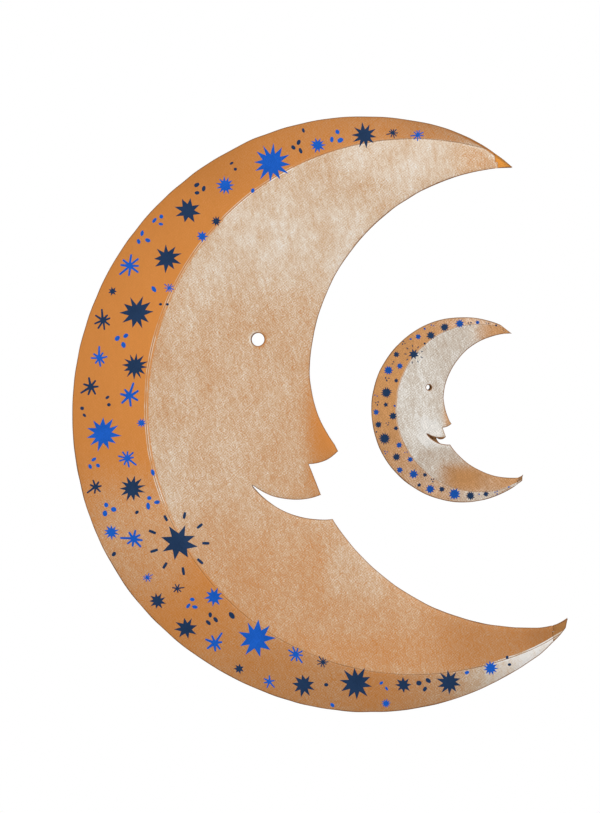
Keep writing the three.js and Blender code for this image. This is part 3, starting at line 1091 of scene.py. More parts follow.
def leaf_values(moon, places, on_edge):
    """The numbers that the finishes read, for each place on a leaf"""
    # The pearl and the shade are the card's painted sheen and painted shade
    looks = [painted_sheen_and_shade_of(moon, place) for place in places]
    brown_line = [i in on_edge and not moon.in_slit(place) for i, place in enumerate(places)]
    return {
        "beyond_score": [moon.beyond_score(place) for place in places],
        "pearl": [pearl for pearl, _ in looks],
        "shade": [shade for _, shade in looks],
        "edge_wear": [float(on_brown_line) for on_brown_line in brown_line],
        "reverse_shade": [reverse_shade_of(moon, place) for place in places],
        "crease_light": [crease_light_of(moon, place) for place in places],
        "faded": [lower_tip_tan_of(moon, place) for place in places],
    }


def build_leaf(context, moon, side, seed, materials):
    """A folded leaf: both faces of the card, its cut edges and its finish. side is -1 in front
    and 1 behind."""
    sizes = context.scene.moon_sizes
    flat, triangles, inks = cut_leaf(moon, side, sizes, seed)
    used, triangles = renumbered(triangles)
    places = [flat[v] for v in used]
    edges = rim_edges(triangles)
    on_edge = {v for edge in edges for v in edge}
    groove = sizes.score_depth / MM
    half = moon.card / 2
    near, far = [], []
    for number, place in enumerate(places):
        raised = moon.height(place) + moon.relief(place, groove, seed)
        thick = half * THIN_EDGE if number in on_edge else half
        x, z = place.real + moon.centre.real, place.imag + moon.centre.imag
        near.append((x * MM, (side * raised - thick) * MM, z * MM))
        far.append((x * MM, (side * raised + thick) * MM, z * MM))
    faces = sheet_faces(triangles, edges, len(places))
    obj = add_object(f"{moon.name}_{'back' if side > 0 else 'front'}_card", near + far, faces)
    mesh = obj.data
    for key, values in leaf_values(moon, places, on_edge).items():
        layer = mesh.attributes.new(key, "FLOAT", "POINT")
        layer.data.foreach_set("value", values + values)
    for material in materials:
        mesh.materials.append(material)
    plain = [0] * len(inks)
    outside = [OUTSIDE] * len(triangles), inks
    reverse = [REVERSE] * len(triangles), plain
    sides = zip(outside, reverse) if side < 0 else zip(reverse, outside)
    looks, face_inks = [in_front + behind for in_front, behind in sides]
    mesh.polygons.foreach_set("material_index", looks + [CUT_EDGE] * len(edges))
    layer = mesh.attributes.new("ink", "INT", "FACE")
    layer.data.foreach_set("value", face_inks + [0] * len(edges))
    mesh.set_sharp_from_angle(angle=SHARP_ANGLE)
    return obj


def lift_print(card, ink, name, thickness, material):
    """A thin film of ink on the faces of a leaf that carry it, closed all round"""
    mesh = card.data
    inks = mesh.attributes["ink"].data
    printed = [list(p.vertices) for p in mesh.polygons if inks[p.index].value == ink]
    used, triangles = renumbered(printed)
    vertices = [mesh.vertices[v] for v in used]
    top = [v.co + v.normal * thickness for v in vertices]
    under = [v.co - v.normal * thickness / INK_SINK for v in vertices]
    faces = sheet_faces(triangles, rim_edges(triangles), len(used))
    obj = add_object(name, top + under, faces)
    obj.data.set_sharp_from_angle(angle=SHARP_ANGLE)
    obj.data.materials.append(material)
    return obj


# Finishes

WAVE_SCALE = 10 / math.pi  # the scale at which the wave texture makes one wave per length

# A noise: how long and how wide its grains are, in metres, how far they are turned about Y, in
# degrees, and how fine its detail is
Grain = namedtuple("Grain", "length width turn detail", defaults=(0, 2.0))

GRAIN_ROUGHNESS = 0.55
THREAD_FADES = Grain(0.004, 0.002)
SPECKS = Grain(0.00035, 0.00035, 0, 1.0)
SHORT_STREAKS = Grain(0.002, 0.0006, -15)
LONG_STREAKS = Grain(0.0062, 0.0024, -12)
CLOUDS = Grain(0.024, 0.013, 10, 3.0)
REVERSE_CLOUDS = Grain(0.018, 0.01)
INK_CLOUDS = Grain(0.006, 0.006)
EDGE_BROWN_NOISE = Grain(0.007, 0.007)
CREASE_WANDERS = Grain(0.012, 0.012, 0, 1.0)
CREASE_BREAKS = Grain(0.009, 0.009)
CORE_FUR = Grain(0.0006, 0.0006)

# Unless it says otherwise, a pair is what a value is multiplied by and what is then added to it

# The weave: how much and how finely its threads are bent, where they show, and its parts' shares
THREAD_BEND = 8.0
THREAD_BEND_DETAIL = 2.0
THREADS_SHOWN = (2.6, 0.5)
SECOND_THREADS = 0.8
THREADS_SHARE = 0.28
SPECKS_SHARE = 0.6
SHORT_STREAKS_SHARE = 0.6

EDGE_BROWNING = (2.4, 1.5)  # how brown the cut edges turn

# The crease's painted lines, a painted shade line between two painted highlights: where its
# lines lie, from the groove, and their half widths, in widths of the bead, how far they wander,
# in millimetres, where they show, and how dark the middle one is
OUTER_LINE = (1.4, 1.1)
INNER_LINE = (-1.5, 1.5)
MIDDLE_LINE = (0.0, 1.1)
CREASE_WANDER = 0.5
CREASE_SHOWN = (3.2, 0.75)
CREASE_DARK = (0.6, 0.35)
CREASE_LIT = -0.4  # what is added to that where the crease catches the light

# How the pearl changes the strength of the grain: it rises with a power of the pearl, and falls
# again in a straight line, down to a least share
GRAIN_RISE = 0.7
GRAIN_FALL = (-1.95, 2.3)
GRAIN_FALL_END = 0.25
LEAST_GRAIN = 0.05
LEAST_CLOUDS = 0.03
LONG_STREAKS_SHARE = 0.75  # of the clouds

# What the crease's painted highlights and painted shade line do to the pearly card: the pearl
# and the brightness that it adds, the share of brown in its middle line, and how bright its pale
# lines are
CREASE_PEARL = 0.95
CREASE_TONE = -0.3
CREASE_BROWN = 0.55
CREASE_SHADE = 1.1

# The same for the plain reverse: shares of the pale colour of its painted highlights and of brown
REVERSE_CREASE_PALE = 0.8
REVERSE_CREASE_BROWN = 0.4

CARD_SPECULAR = 0.2
CARD_GLOSS_GRAIN = 0.25  # how much the weave changes the card's roughness
CORE_ROUGHNESS = 0.8
INK_ROUGHNESS = 0.55
INK_SPECULAR = 0.15

# Raised patterns: their height in metres and their strength
CARD_BUMP = (0.00006, 0.5)
REVERSE_BUMP = (0.00005, 0.4)
CORE_BUMP = (0.00005, 0.5)
INK_BUMP = (0.00004, 0.4)

# A plain colour made uneven: what its noise is multiplied by, between which values of it the
# colour changes, and what the colour is multiplied by at both, with what is added when light
Tones = namedtuple("Tones", "strength start end dark light lift")
REVERSE_TONES = Tones(0.5, 0.15, 0.85, 0.82, 1.14, 0.0)
CORE_TONES = Tones(1.0, 0.3, 0.8, 0.6, 1.0, 0.0)
INK_TONES = Tones(0.7, 0.2, 0.8, 0.84, 1.2, 0.006)


class Finish:
    """A material with its nodes, added one by one"""

    def __init__(self, name):
        self.material = bpy.data.materials.new(name)
        self.material.use_nodes = True
        self.tree = self.material.node_tree
        self.shader = self.tree.nodes["Principled BSDF"]
        self.object_place = self.add("ShaderNodeTexCoord").outputs["Object"]

    def add(self, kind, inputs=None, **settings):
        """Adds a node, with its settings and what goes into it"""
        node = self.tree.nodes.new(kind)
        for key, value in settings.items():
            setattr(node, key, value)
        for key, value in (inputs or {}).items():
            self.put(node.inputs[key], value)
        return node

    def put(self, socket, value):
        """Links a socket to another, or sets it"""
        if isinstance(value, bpy.types.NodeSocket):
            self.tree.links.new(value, socket)
        else:
            socket.default_value = value

    def look(self, **values):
        """Sets sockets of the shader, whose names have _ here in place of each space"""
        for name, value in values.items():
            self.put(self.shader.inputs[name.replace("_", " ")], value)

    def sum(self, operation, *values, clamp=False):
        """A sum of one, two or three numbers"""
        node = self.add("ShaderNodeMath", dict(enumerate(values)), operation=operation)
        node.use_clamp = clamp
        return node.outputs[0]

    def value(self, name):
        """A number stored on the mesh"""
        return self.add("ShaderNodeAttribute", attribute_name=name).outputs["Fac"]

    def turned(self, turn, lengths):
        """Places on the object, turned about Y by degrees and measured in lengths in metres"""
        inputs = {
            "Vector": self.object_place,
            "Rotation": (0.0, math.radians(turn), 0.0),
            "Scale": lengths,
        }
        return self.add("ShaderNodeMapping", inputs, vector_type="TEXTURE").outputs[0]

    def grain(self, kind):
        """A noise about 0"""
        inputs = {
            "Vector": self.turned(kind.turn, (kind.width, kind.width, kind.length)),
            "Scale": 1.0,
            "Detail": kind.detail,
            "Roughness": GRAIN_ROUGHNESS,
        }
        made = self.add("ShaderNodeTexNoise", inputs)
        return self.sum("SUBTRACT", made.outputs["Fac"], 0.5)

    def smooth(self, value, start, end, low, high):
        """A smooth change from low, where a value is at its start, to high, at its end"""
        inputs = {"Value": value, 1: start, 2: end, 3: low, 4: high}
        made = self.add("ShaderNodeMapRange", inputs, interpolation_type="SMOOTHSTEP")
        return made.outputs[0]

    def mix(self, share, a, b, blend_type="MIX"):
        """One colour blended over another"""
        node = self.add("ShaderNodeMix", data_type="RGBA", blend_type=blend_type)
        self.put(node.inputs["Factor"], share)
        self.put(node.inputs["A"], a)
        self.put(node.inputs["B"], b)
        return node.outputs["Result"]

    def ramp(self, share, stops):
        """Colours along a ramp"""
        node = self.add("ShaderNodeValToRGB", {"Fac": share})
        elements = node.color_ramp.elements
        while len(elements) < len(stops):
            elements.new(0.5)
        for element, (position, colour) in zip(elements, stops):
            element.position = position
            element.color = (*colour, 1.0)
        return node.outputs["Color"]

    def uneven(self, pattern, colour, tones):
        """A plain colour that a noise about 0 makes darker and lighter"""
        tone = self.sum("MULTIPLY_ADD", pattern, tones.strength, 0.5, clamp=True)
        dark = [channel * tones.dark for channel in colour]
        light = [min(1.0, channel * tones.light + tones.lift) for channel in colour]
        return self.ramp(tone, [(tones.start, dark), (tones.end, light)])

    def bump(self, pattern, height, strength):
        """Raises the surface by a pattern"""
        inputs = {"Height": pattern, "Distance": height, "Strength": strength}
        made = self.add("ShaderNodeBump", inputs)
        self.put(self.shader.inputs["Normal"], made.outputs["Normal"])


def threads(finish, looks, turn):
    """Threads side by side, about 0, which show here and fade there"""
    lengths = (looks.thread_spacing * WAVE_SCALE, looks.thread_length, looks.thread_length)
    inputs = {
        "Vector": finish.turned(turn, lengths),
        "Scale": 1.0,
        "Distortion": THREAD_BEND,
        "Detail": THREAD_BEND_DETAIL,
    }
    waves = finish.add("ShaderNodeTexWave", inputs)
    fades = finish.grain(THREAD_FADES._replace(turn=turn))
    shown = finish.sum("MULTIPLY_ADD", fades, *THREADS_SHOWN, clamp=True)
    return finish.sum("MULTIPLY", finish.sum("SUBTRACT", waves.outputs["Fac"], 0.5), shown)


def weave(finish, looks):
    """A fine cross weave of two runs of threads, about 0, with specks and short streaks"""
    up = threads(finish, looks, looks.thread_turn)
    down = threads(finish, looks, -looks.thread_turn)
    specks = finish.grain(SPECKS)
    streaks = finish.sum("MULTIPLY", finish.grain(SHORT_STREAKS), SHORT_STREAKS_SHARE)
    loose = finish.sum("MULTIPLY_ADD", specks, SPECKS_SHARE, streaks)
    both = finish.sum("MULTIPLY_ADD", down, SECOND_THREADS, up)
    return finish.sum("MULTIPLY_ADD", both, THREADS_SHARE, loose)


def shaded(finish, colour, shade):
    """A colour made brighter or darker by a number"""
    grey = finish.add("ShaderNodeCombineColor", {0: shade, 1: shade, 2: shade})
    return finish.mix(1.0, colour, grey.outputs[0], "MULTIPLY")


def browned_edge(finish):
    """How brown the card is along its cut edges, here more and there less"""
    uneven = finish.sum("MULTIPLY_ADD", finish.grain(EDGE_BROWN_NOISE), *EDGE_BROWNING)
    return finish.sum("MULTIPLY", finish.value("edge_wear"), uneven, clamp=True)


def line_at(finish, score, moon, line):
    """1 on a thin line beside the score, with soft sides"""
    place, half_width = line
    middle = moon.bead_groove + place * moon.bead_width
    off = finish.sum("ABSOLUTE", finish.sum("SUBTRACT", score, middle))
    return finish.smooth(off, 0.0, moon.bead_width * half_width, 1.0, 0.0)


def crease_lines(finish, moon):
    """The crease as painted light: a thin brown line of painted shade between two pale lines of
    painted highlight, which come and go
    """
    wander = finish.grain(CREASE_WANDERS)
    score = finish.sum("MULTIPLY_ADD", wander, CREASE_WANDER, finish.value("beyond_score"))
    outer = line_at(finish, score, moon, OUTER_LINE)
    inner = line_at(finish, score, moon, INNER_LINE)
    brown = line_at(finish, score, moon, MIDDLE_LINE)
    broken = finish.sum("MULTIPLY_ADD", finish.grain(CREASE_BREAKS), *CREASE_SHOWN, clamp=True)
    lit = finish.sum("MULTIPLY", finish.value("crease_light"), broken)
    pale = finish.sum("MULTIPLY", finish.sum("ADD", outer, inner), lit)
    dark = finish.sum("MULTIPLY_ADD", broken, *CREASE_DARK)
    catch = finish.sum("MINIMUM", finish.value("crease_light"), 1.0)
    dark = finish.sum("MULTIPLY_ADD", catch, CREASE_LIT, dark, clamp=True)
    return pale, finish.sum("MULTIPLY", brown, dark)


def pearl_card(context, name, moon, colours, edge_and_crease_brown):
    """Pearly card: coppery under a painted pale sheen, with painted shade, that is broken by
    fibres and soft clouds
    """
    looks = context.scene.moon_finish
    finish = Finish(name)
    fibres = weave(finish, looks)
    clouds = finish.grain(CLOUDS)
    streaks = finish.grain(LONG_STREAKS)
    pearl = finish.value("pearl")
    fall = finish.sum("MULTIPLY_ADD", pearl, *GRAIN_FALL)
    fall = finish.sum("MAXIMUM", fall, GRAIN_FALL_END)
    spread = finish.sum("MULTIPLY", finish.sum("POWER", pearl, GRAIN_RISE), fall)
    grain = looks.grain_strength * moon.grain
    strength = finish.sum("MULTIPLY_ADD", spread, grain, LEAST_GRAIN)
    slow = finish.sum("MULTIPLY_ADD", streaks, LONG_STREAKS_SHARE, clouds)
    cloudy = looks.cloud_strength * moon.clouds
    slow_strength = finish.sum("MULTIPLY_ADD", pearl, cloudy, LEAST_CLOUDS)
    pale = finish.sum("MULTIPLY_ADD", fibres, strength, pearl)
    pale = finish.sum("MULTIPLY_ADD", slow, slow_strength, pale)
    # The crease's painted highlights pale and brighten the card; its painted shade line browns it
    crease_highlight, crease_shade_line = crease_lines(finish, moon)
    pale = finish.sum("MULTIPLY_ADD", crease_highlight, CREASE_PEARL, pale)
    pale = finish.sum("DIVIDE", pale, PEARL_TOP, clamp=True)
    colour = finish.ramp(pale, colours)
    brown = finish.sum("MULTIPLY", crease_shade_line, CREASE_BROWN)
    colour = finish.mix(brown, colour, edge_and_crease_brown)
    tone = finish.sum("MULTIPLY_ADD", fibres, moon.tone_grain, 1.0)
    tone = finish.sum("MULTIPLY_ADD", slow, moon.tone_clouds, tone)
    tone = finish.sum("MULTIPLY_ADD", crease_shade_line, CREASE_TONE, tone)
    shade = finish.value("shade")
    missing = finish.sum("SUBTRACT", CREASE_SHADE, shade)
    shade = finish.sum("MULTIPLY_ADD", missing, finish.sum("MINIMUM", crease_highlight, 1.0), shade)
    colour = shaded(finish, colour, finish.sum("MULTIPLY", shade, tone))
    colour = finish.mix(browned_edge(finish), colour, edge_and_crease_brown)
    gloss = finish.sum("MULTIPLY_ADD", fibres, CARD_GLOSS_GRAIN, looks.roughness)
    finish.look(Base_Color=colour, Roughness=gloss)
    finish.look(Metallic=looks.metal, Specular_IOR_Level=CARD_SPECULAR)
    finish.bump(fibres, *CARD_BUMP)
    return finish.material


def plain_reverse(context, name, moon, colour, edge_and_crease_brown):
    """The card's unprinted reverse: a deep, even copper with faint fibres, a pale crease of
    painted highlight, and painted light and shade near the horns' tips
    """
    looks = context.scene.moon_finish
    colours = context.scene.moon_colours
    finish = Finish(name)
    fibres = weave(finish, looks)
    pattern = finish.sum("ADD", fibres, finish.grain(REVERSE_CLOUDS))
    made = finish.uneven(pattern, colour, REVERSE_TONES)
    # Tan at the lower tip, then painted light at the upper tip and painted shade at the lower tip
    # and along the upper horn's rim
    made = finish.mix(finish.value("faded"), made, (*colours.tan, 1.0))
    made = shaded(finish, made, finish.value("reverse_shade"))
    # Painted highlights and a painted shade line along the crease
    crease_highlight, crease_shade_line = crease_lines(finish, moon)
    pale = finish.sum("MULTIPLY", crease_highlight, REVERSE_CREASE_PALE, clamp=True)
    made = finish.mix(pale, made, (*colours.glint, 1.0))
    brown = finish.sum("MULTIPLY", crease_shade_line, REVERSE_CREASE_BROWN)
    made = finish.mix(brown, made, edge_and_crease_brown)
    made = finish.mix(browned_edge(finish), made, edge_and_crease_brown)
    finish.look(Base_Color=made, Roughness=looks.roughness)
    finish.look(Metallic=looks.metal, Specular_IOR_Level=CARD_SPECULAR)
    finish.bump(fibres, *REVERSE_BUMP)
    return finish.material


def cut_edge(name, colour):
    """The card's cut edge: its brown core, a little furred"""
    finish = Finish(name)
    fur = finish.grain(CORE_FUR)
    finish.look(Base_Color=finish.uneven(fur, colour, CORE_TONES), Roughness=CORE_ROUGHNESS)
    finish.bump(fur, *CORE_BUMP)
    return finish.material


def printed_ink(context, name, colour):
    """Flat printing ink, slightly uneven, with the card's fibres showing faintly through it"""
    finish = Finish(name)
    fibres = weave(finish, context.scene.moon_finish)
    pattern = finish.sum("ADD", fibres, finish.grain(INK_CLOUDS))
    finish.look(Base_Color=finish.uneven(pattern, colour, INK_TONES))
    finish.look(Roughness=INK_ROUGHNESS, Specular_IOR_Level=INK_SPECULAR)
    finish.bump(fibres, *INK_BUMP)
    return finish.material


# What a user may change


def length(name, description, default):
    """A length in metres that the panel shows"""
    return FloatProperty(
        name=name,
        description=description,
        default=default,
        min=0.0,
        precision=5,
        subtype="DISTANCE",
        unit="LENGTH",
    )


def share(name, description, default):
    """A share from 0 to 1 that the panel shows"""
    return FloatProperty(
        name=name, description=description, default=default, min=0.0, max=1.0, subtype="FACTOR"
    )


def amount(name, description, default):
    """A strength that the panel shows"""
    return FloatProperty(name=name, description=description, default=default, min=0.0, max=4.0)


def power(name, description, default):
    """A lamp's power in watts that the panel shows"""
    return FloatProperty(
        name=name, description=description, default=default, min=0.0, unit="POWER"
    )


def tint(name, description, default):
    """A colour that the panel shows"""
    return FloatVectorProperty(
        name=name,
        description=description,
        default=default,
        size=3,
        min=0.0,
        max=1.0,
        subtype="COLOR",
    )


class MoonSizes(PropertyGroup):
    """Sizes of the card, its cuts and its print"""

    card: length("Card thickness", "Thickness of the card", 0.0004)
    leaf_gap: length("Leaf gap", "Air between the two leaves at the rim", 0.0003)
    band_slope: FloatProperty(
        name="Band slope",
        description="How steeply the printed band rises from the rim to the score",
        default=math.radians(15),
        subtype="ANGLE",
        unit="ROTATION",
    )
    edge_bevel: length("Edge rounding", "Width of the rounding along the cut edges", 0.0005)
    cut_wobble: length("Cut wobble", "How far the scissors wander along an edge", 0.00022)
    score_depth: length("Score depth", "Depth of the fine groove beside the score", 0.0001)
    ink_film: length("Ink thickness", "Thickness of the printed ink", 0.00003)
    large_print: IntProperty(
        name="Large print seed", description="Seed of the large moon's print", default=11
    )
    small_print: IntProperty(
        name="Small print seed", description="Seed of the small moon's print", default=23
    )


class MoonColours(PropertyGroup):
    """Colours of the card and the inks"""

    copper: tint("Copper", "The large moon's card, away from the light", (0.624, 0.23, 0.045))
    tan: tint("Tan", "The large moon's card, half turned to the light", (0.597, 0.328, 0.162))
    pearl: tint("Pearl", "The large moon's card, turned to the light", (0.658, 0.468, 0.314))
    glint: tint("Glint", "The large moon's card where it is pale", (0.74, 0.62, 0.5))
    frost: tint("Frost", "The large moon's card where it is palest", (0.8, 0.77, 0.74))
    bronze: tint("Bronze", "The small moon's card, away from the light", (0.5, 0.24, 0.085))
    oyster: tint("Oyster", "The small moon's card, turned to the light", (0.6, 0.535, 0.46))
    shell: tint("Shell", "The small moon's card where it is palest", (0.66, 0.63, 0.59))
    reverse: tint("Reverse", "The plain reverse of the large moon's card", (0.74, 0.3, 0.05))
    small_reverse: tint("Small reverse", "The plain reverse of the small card", (0.56, 0.29, 0.12))
    edge: tint("Cut edge", "The card's core at its cut edges", (0.34, 0.17, 0.06))
    # The brown of the darker cut edges and of the crease's painted shade line
    brown_line: tint("Edge and crease brown", "The card along its cut edges and its crease", (0.26, 0.11, 0.035))
    navy: tint("Navy", "The dark ink", (0.006, 0.032, 0.095))
    blue: tint("Blue", "The bright ink on the large moon", (0.002, 0.11, 0.58))
    deep_blue: tint("Deep blue", "The bright ink on the small moon", (0.001, 0.08, 0.4))


class MoonFinish(PropertyGroup):
    """Grain and gloss of the card"""

    thread_length: length("Thread length", "How far a thread of the weave shows", 0.0024)
    thread_spacing: length("Thread spacing", "From one thread of the weave to the next", 0.00102)
    thread_turn: FloatProperty(
        name="Thread turn", description="Slant of the threads, in degrees", default=48.0
    )
    grain_strength: amount("Grain", "How strongly the weave breaks the sheen", 1.75)
    cloud_strength: amount("Clouds", "How strongly the sheen varies in soft clouds", 0.7)
    metal: share("Metal", "How metallic the card's sheen is", 0.25)
    roughness: share("Roughness", "How dull the sheen is", 0.48)


class MoonStage(PropertyGroup):
    """Floor, lamps and camera"""

    floor_drop: length("Floor below", "How far the floor lies below the moons", 0.13)
    camera_away: length("Camera distance", "From the moons' middle plane to the camera", 2.5)
    picture_height: length("Picture height", "What the picture takes in, in height", 0.38378)
    key_power: power("Key lamps", "Power of the lamps on the right and behind", 15.0)
    fill_power: power("Fill lamp", "Power of the lamp on the left", 6.0)
    ambient: share("Ambient", "Light from all round", 0.48)


# Operators

# The colours of a card by its pearl, and that of its plain reverse
CARD_COLOURS = {
    "large": {"copper": 0.0, "tan": 0.45, "pearl": 0.75, "glint": 1.0, "frost": PEARL_TOP},
    "small": {"bronze": 0.0, "oyster": 0.85, "shell": 1.0},
}
REVERSE_COLOURS = {"large": "reverse", "small": "small_reverse"}


def leaf_materials(context, moon, slot):
    """The outside, cut edge and reverse of a leaf"""
    colours = context.scene.moon_colours
    pearls = CARD_COLOURS[moon.name]
    stops = [(pearl / PEARL_TOP, getattr(colours, name)) for name, pearl in pearls.items()]
    reverse = getattr(colours, REVERSE_COLOURS[moon.name])
    brown_line = (*colours.brown_line, 1.0)
    return [
        pearl_card(context, slot, moon, stops, brown_line),
        cut_edge(f"{slot}_cut_edge", colours.edge),
        plain_reverse(context, f"{slot}_reverse", moon, reverse, brown_line),
    ]


def add_leaf(context, moon_name, side, slot):
    """Builds a leaf in place of its solid. side is -1 in front and 1 behind, where the print has
    the next seed."""
    moon = moon_of(context, moon_name)
    place = "back" if side > 0 else "front"
    seed = getattr(context.scene.moon_sizes, f"{moon_name}_print")
    if side > 0:
        seed += 1
    obj = build_leaf(context, moon, side, seed, leaf_materials(context, moon, slot))
    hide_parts(f"{moon_name}_{place}_leaf")
    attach(obj, f"{moon_name}_{place}")
    return {"FINISHED"}


class MOONS_OT_large_front_leaf(Operator):
    """Adds the large moon's front leaf"""

    bl_idname = "moons.large_front_leaf"
    bl_label = "Large front leaf"

    def execute(self, context):
        return add_leaf(context, "large", -1, "copper_card")


class MOONS_OT_large_back_leaf(Operator):
    """Adds the large moon's back leaf"""

    bl_idname = "moons.large_back_leaf"
    bl_label = "Large back leaf"

    def execute(self, context):
        return add_leaf(context, "large", 1, "copper_card_back")


class MOONS_OT_small_front_leaf(Operator):
    """Adds the small moon's front leaf"""

    bl_idname = "moons.small_front_leaf"
    bl_label = "Small front leaf"

    def execute(self, context):
        return add_leaf(context, "small", -1, "champagne_card")


class MOONS_OT_small_back_leaf(Operator):
    """Adds the small moon's back leaf"""

    bl_idname = "moons.small_back_leaf"
    bl_label = "Small back leaf"

    def execute(self, context):
        return add_leaf(context, "small", 1, "champagne_card_back")


class MOONS_OT_print(Operator):
    """Prints the stars and dots in both inks on the outside of all four leaves"""

    bl_idname = "moons.print"
    bl_label = "Printed stars"

    def execute(self, context):
        colours = context.scene.moon_colours
        film = context.scene.moon_sizes.ink_film
        navy = printed_ink(context, "navy_ink", colours.navy)
        blues = {
            "large": printed_ink(context, "blue_ink", colours.blue),
            "small": printed_ink(context, "deep_blue_ink", colours.deep_blue),
        }
        for moon_name, blue in blues.items():
            for place in ("front", "back"):
                leaf = f"{moon_name}_{place}"
                card = bpy.data.objects[f"{leaf}_card"]
                for ink, tone, material in ((NAVY, "navy", navy), (BLUE, "blue", blue)):
                    piece = lift_print(card, ink, f"{leaf}_{tone}_stars", film, material)
                    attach(piece, leaf)
        return {"FINISHED"}


# The stage, in metres

WHITE = (1.0, 1.0, 1.0, 1.0)
PICTURE_MIDDLE = (0.01783, -0.12778)  # the x and z that the camera looks at
SENSOR_WIDTH = 36.0  # in millimetres, along the picture's longer side
LAMP_SIZE = 1.4
KEY_PLACE = Vector((0.9, -2.0, 0.7))
FILL_PLACE = Vector((-1.3, -1.8, 0.2))
BEHIND_PLACE = Vector((-0.9, 2.0, 0.7))
FLOOR_REACH = 6.0
FLOOR_COLOUR = (0.88, 0.88, 0.87, 1.0)
FLOOR_ROUGHNESS = 0.9

# Between which distances from the middle the camera sees the floor turn white, and how white
FLOOR_FADE = (0.5, 1.1)
FLOOR_WHITE = (0.55, 1.0)


def add_lamp(name, power, place, target):
    """A soft square lamp aimed at a place"""
    lamp = bpy.data.lights.new(name, "AREA")
    lamp.energy = power
    lamp.size = LAMP_SIZE
    obj = bpy.data.objects.new(name, lamp)
    obj.location = place
    obj.rotation_euler = (target - place).to_track_quat("-Z", "Y").to_euler()
    bpy.context.scene.collection.objects.link(obj)


def white_world(context, ambient):
    """Soft light from all round, which the camera and reflections see as white"""
    world = bpy.data.worlds.new("white_room")
    world.use_nodes = True
    tree = world.node_tree
    rays = tree.nodes.new("ShaderNodeLightPath").outputs
    seen = rays["Is Camera Ray"]
    for kind in ("Is Glossy Ray", "Is Transmission Ray"):
        either = tree.nodes.new("ShaderNodeMath")
        either.operation = "MAXIMUM"
        tree.links.new(seen, either.inputs[0])
        tree.links.new(rays[kind], either.inputs[1])
        seen = either.outputs[0]
    level = tree.nodes.new("ShaderNodeMapRange")
    level.inputs["To Min"].default_value = ambient
    tree.links.new(seen, level.inputs["Value"])
    tree.links.new(level.outputs[0], tree.nodes["Background"].inputs["Strength"])
    tree.nodes["Background"].inputs["Color"].default_value = WHITE
    context.scene.world = world


def pale_floor(drop):
    """A plain pale floor that keeps the moons' shadow and runs out into the white behind"""
    low = CAD_BOX[0].z - drop
    ends = ((-1, -1), (1, -1), (1, 1), (-1, 1))
    corners = [(FLOOR_REACH * x, FLOOR_REACH * y, low) for x, y in ends]
    floor = add_object("pale_floor", corners, [[0, 1, 2, 3]])
    finish = Finish("pale_floor")
    finish.look(Base_Color=FLOOR_COLOUR, Roughness=FLOOR_ROUGHNESS)
    tree = finish.tree
    white = finish.add("ShaderNodeEmission", {"Strength": 1.0})
    away = finish.add("ShaderNodeVectorMath", {0: finish.object_place}, operation="LENGTH")
    distant = finish.smooth(away.outputs["Value"], *FLOOR_FADE, *FLOOR_WHITE)
    seen = finish.add("ShaderNodeLightPath").outputs["Is Camera Ray"]
    mixed = finish.add("ShaderNodeMixShader", {0: finish.sum("MULTIPLY", seen, distant)})
    tree.links.new(finish.shader.outputs[0], mixed.inputs[1])
    tree.links.new(white.outputs[0], mixed.inputs[2])
    tree.links.new(mixed.outputs[0], tree.nodes["Material Output"].inputs["Surface"])
    floor.data.materials.append(finish.material)


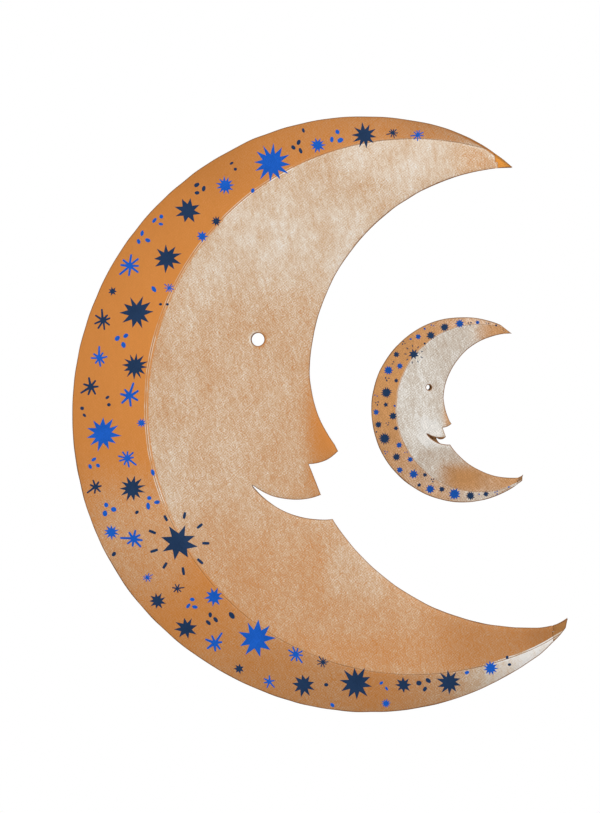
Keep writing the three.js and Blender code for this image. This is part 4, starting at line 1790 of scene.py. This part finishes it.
class MOONS_OT_stage(Operator):
    """Adds the pale floor, the soft lamps and the camera"""

    bl_idname = "moons.stage"
    bl_label = "Stage"

    def execute(self, context):
        stage = context.scene.moon_stage
        pale_floor(stage.floor_drop)
        white_world(context, stage.ambient)
        middle = (CAD_BOX[0] + CAD_BOX[1]) / 2
        add_lamp("key_right", stage.key_power, KEY_PLACE, middle)
        add_lamp("fill_left", stage.fill_power, FILL_PLACE, middle)
        add_lamp("key_behind", stage.key_power, BEHIND_PLACE, middle)
        camera = bpy.data.cameras.new("camera")
        camera.sensor_width = SENSOR_WIDTH
        camera.lens = camera.sensor_width * stage.camera_away / stage.picture_height
        obj = bpy.data.objects.new("camera", camera)
        obj.location = (PICTURE_MIDDLE[0], -stage.camera_away, PICTURE_MIDDLE[1])
        obj.rotation_euler = (math.radians(90), 0.0, 0.0)
        context.scene.collection.objects.link(obj)
        context.scene.camera = obj
        context.scene.view_settings.view_transform = "Standard"
        return {"FINISHED"}


# Panel and run

GROUPS = {
    "moon_sizes": MoonSizes,
    "moon_colours": MoonColours,
    "moon_finish": MoonFinish,
    "moon_stage": MoonStage,
}

OPERATORS = (
    MOONS_OT_large_front_leaf,
    MOONS_OT_large_back_leaf,
    MOONS_OT_small_front_leaf,
    MOONS_OT_small_back_leaf,
    MOONS_OT_print,
    MOONS_OT_stage,
)


class MOONS_PT_sidebar(Panel):
    """Lists what can be changed and what can be built"""

    bl_label = "Card moons"
    bl_idname = "MOONS_PT_sidebar"
    bl_space_type = "VIEW_3D"
    bl_region_type = "UI"
    bl_category = "Moons"

    def draw(self, context):
        for group, kind in GROUPS.items():
            box = self.layout.box()
            for name in kind.__annotations__:
                box.prop(getattr(context.scene, group), name)
        for operator in OPERATORS:
            self.layout.operator(operator.bl_idname)


def register():
    """Makes the groups, operators and panel known"""
    for name, group in GROUPS.items():
        bpy.utils.register_class(group)
        setattr(bpy.types.Scene, name, PointerProperty(type=group))
    for operator in OPERATORS:
        bpy.utils.register_class(operator)
    bpy.utils.register_class(MOONS_PT_sidebar)


def unregister():
    """Takes them out again"""
    bpy.utils.unregister_class(MOONS_PT_sidebar)
    for operator in reversed(OPERATORS):
        bpy.utils.unregister_class(operator)
    for name, group in reversed(GROUPS.items()):
        delattr(bpy.types.Scene, name)
        bpy.utils.unregister_class(group)


def main():
    """Builds the moons"""
    register()
    bpy.ops.moons.stage()
    bpy.ops.moons.large_front_leaf()
    bpy.ops.moons.large_back_leaf()
    bpy.ops.moons.small_front_leaf()
    bpy.ops.moons.small_back_leaf()
    bpy.ops.moons.print()


if __name__ == "__main__":
    main()
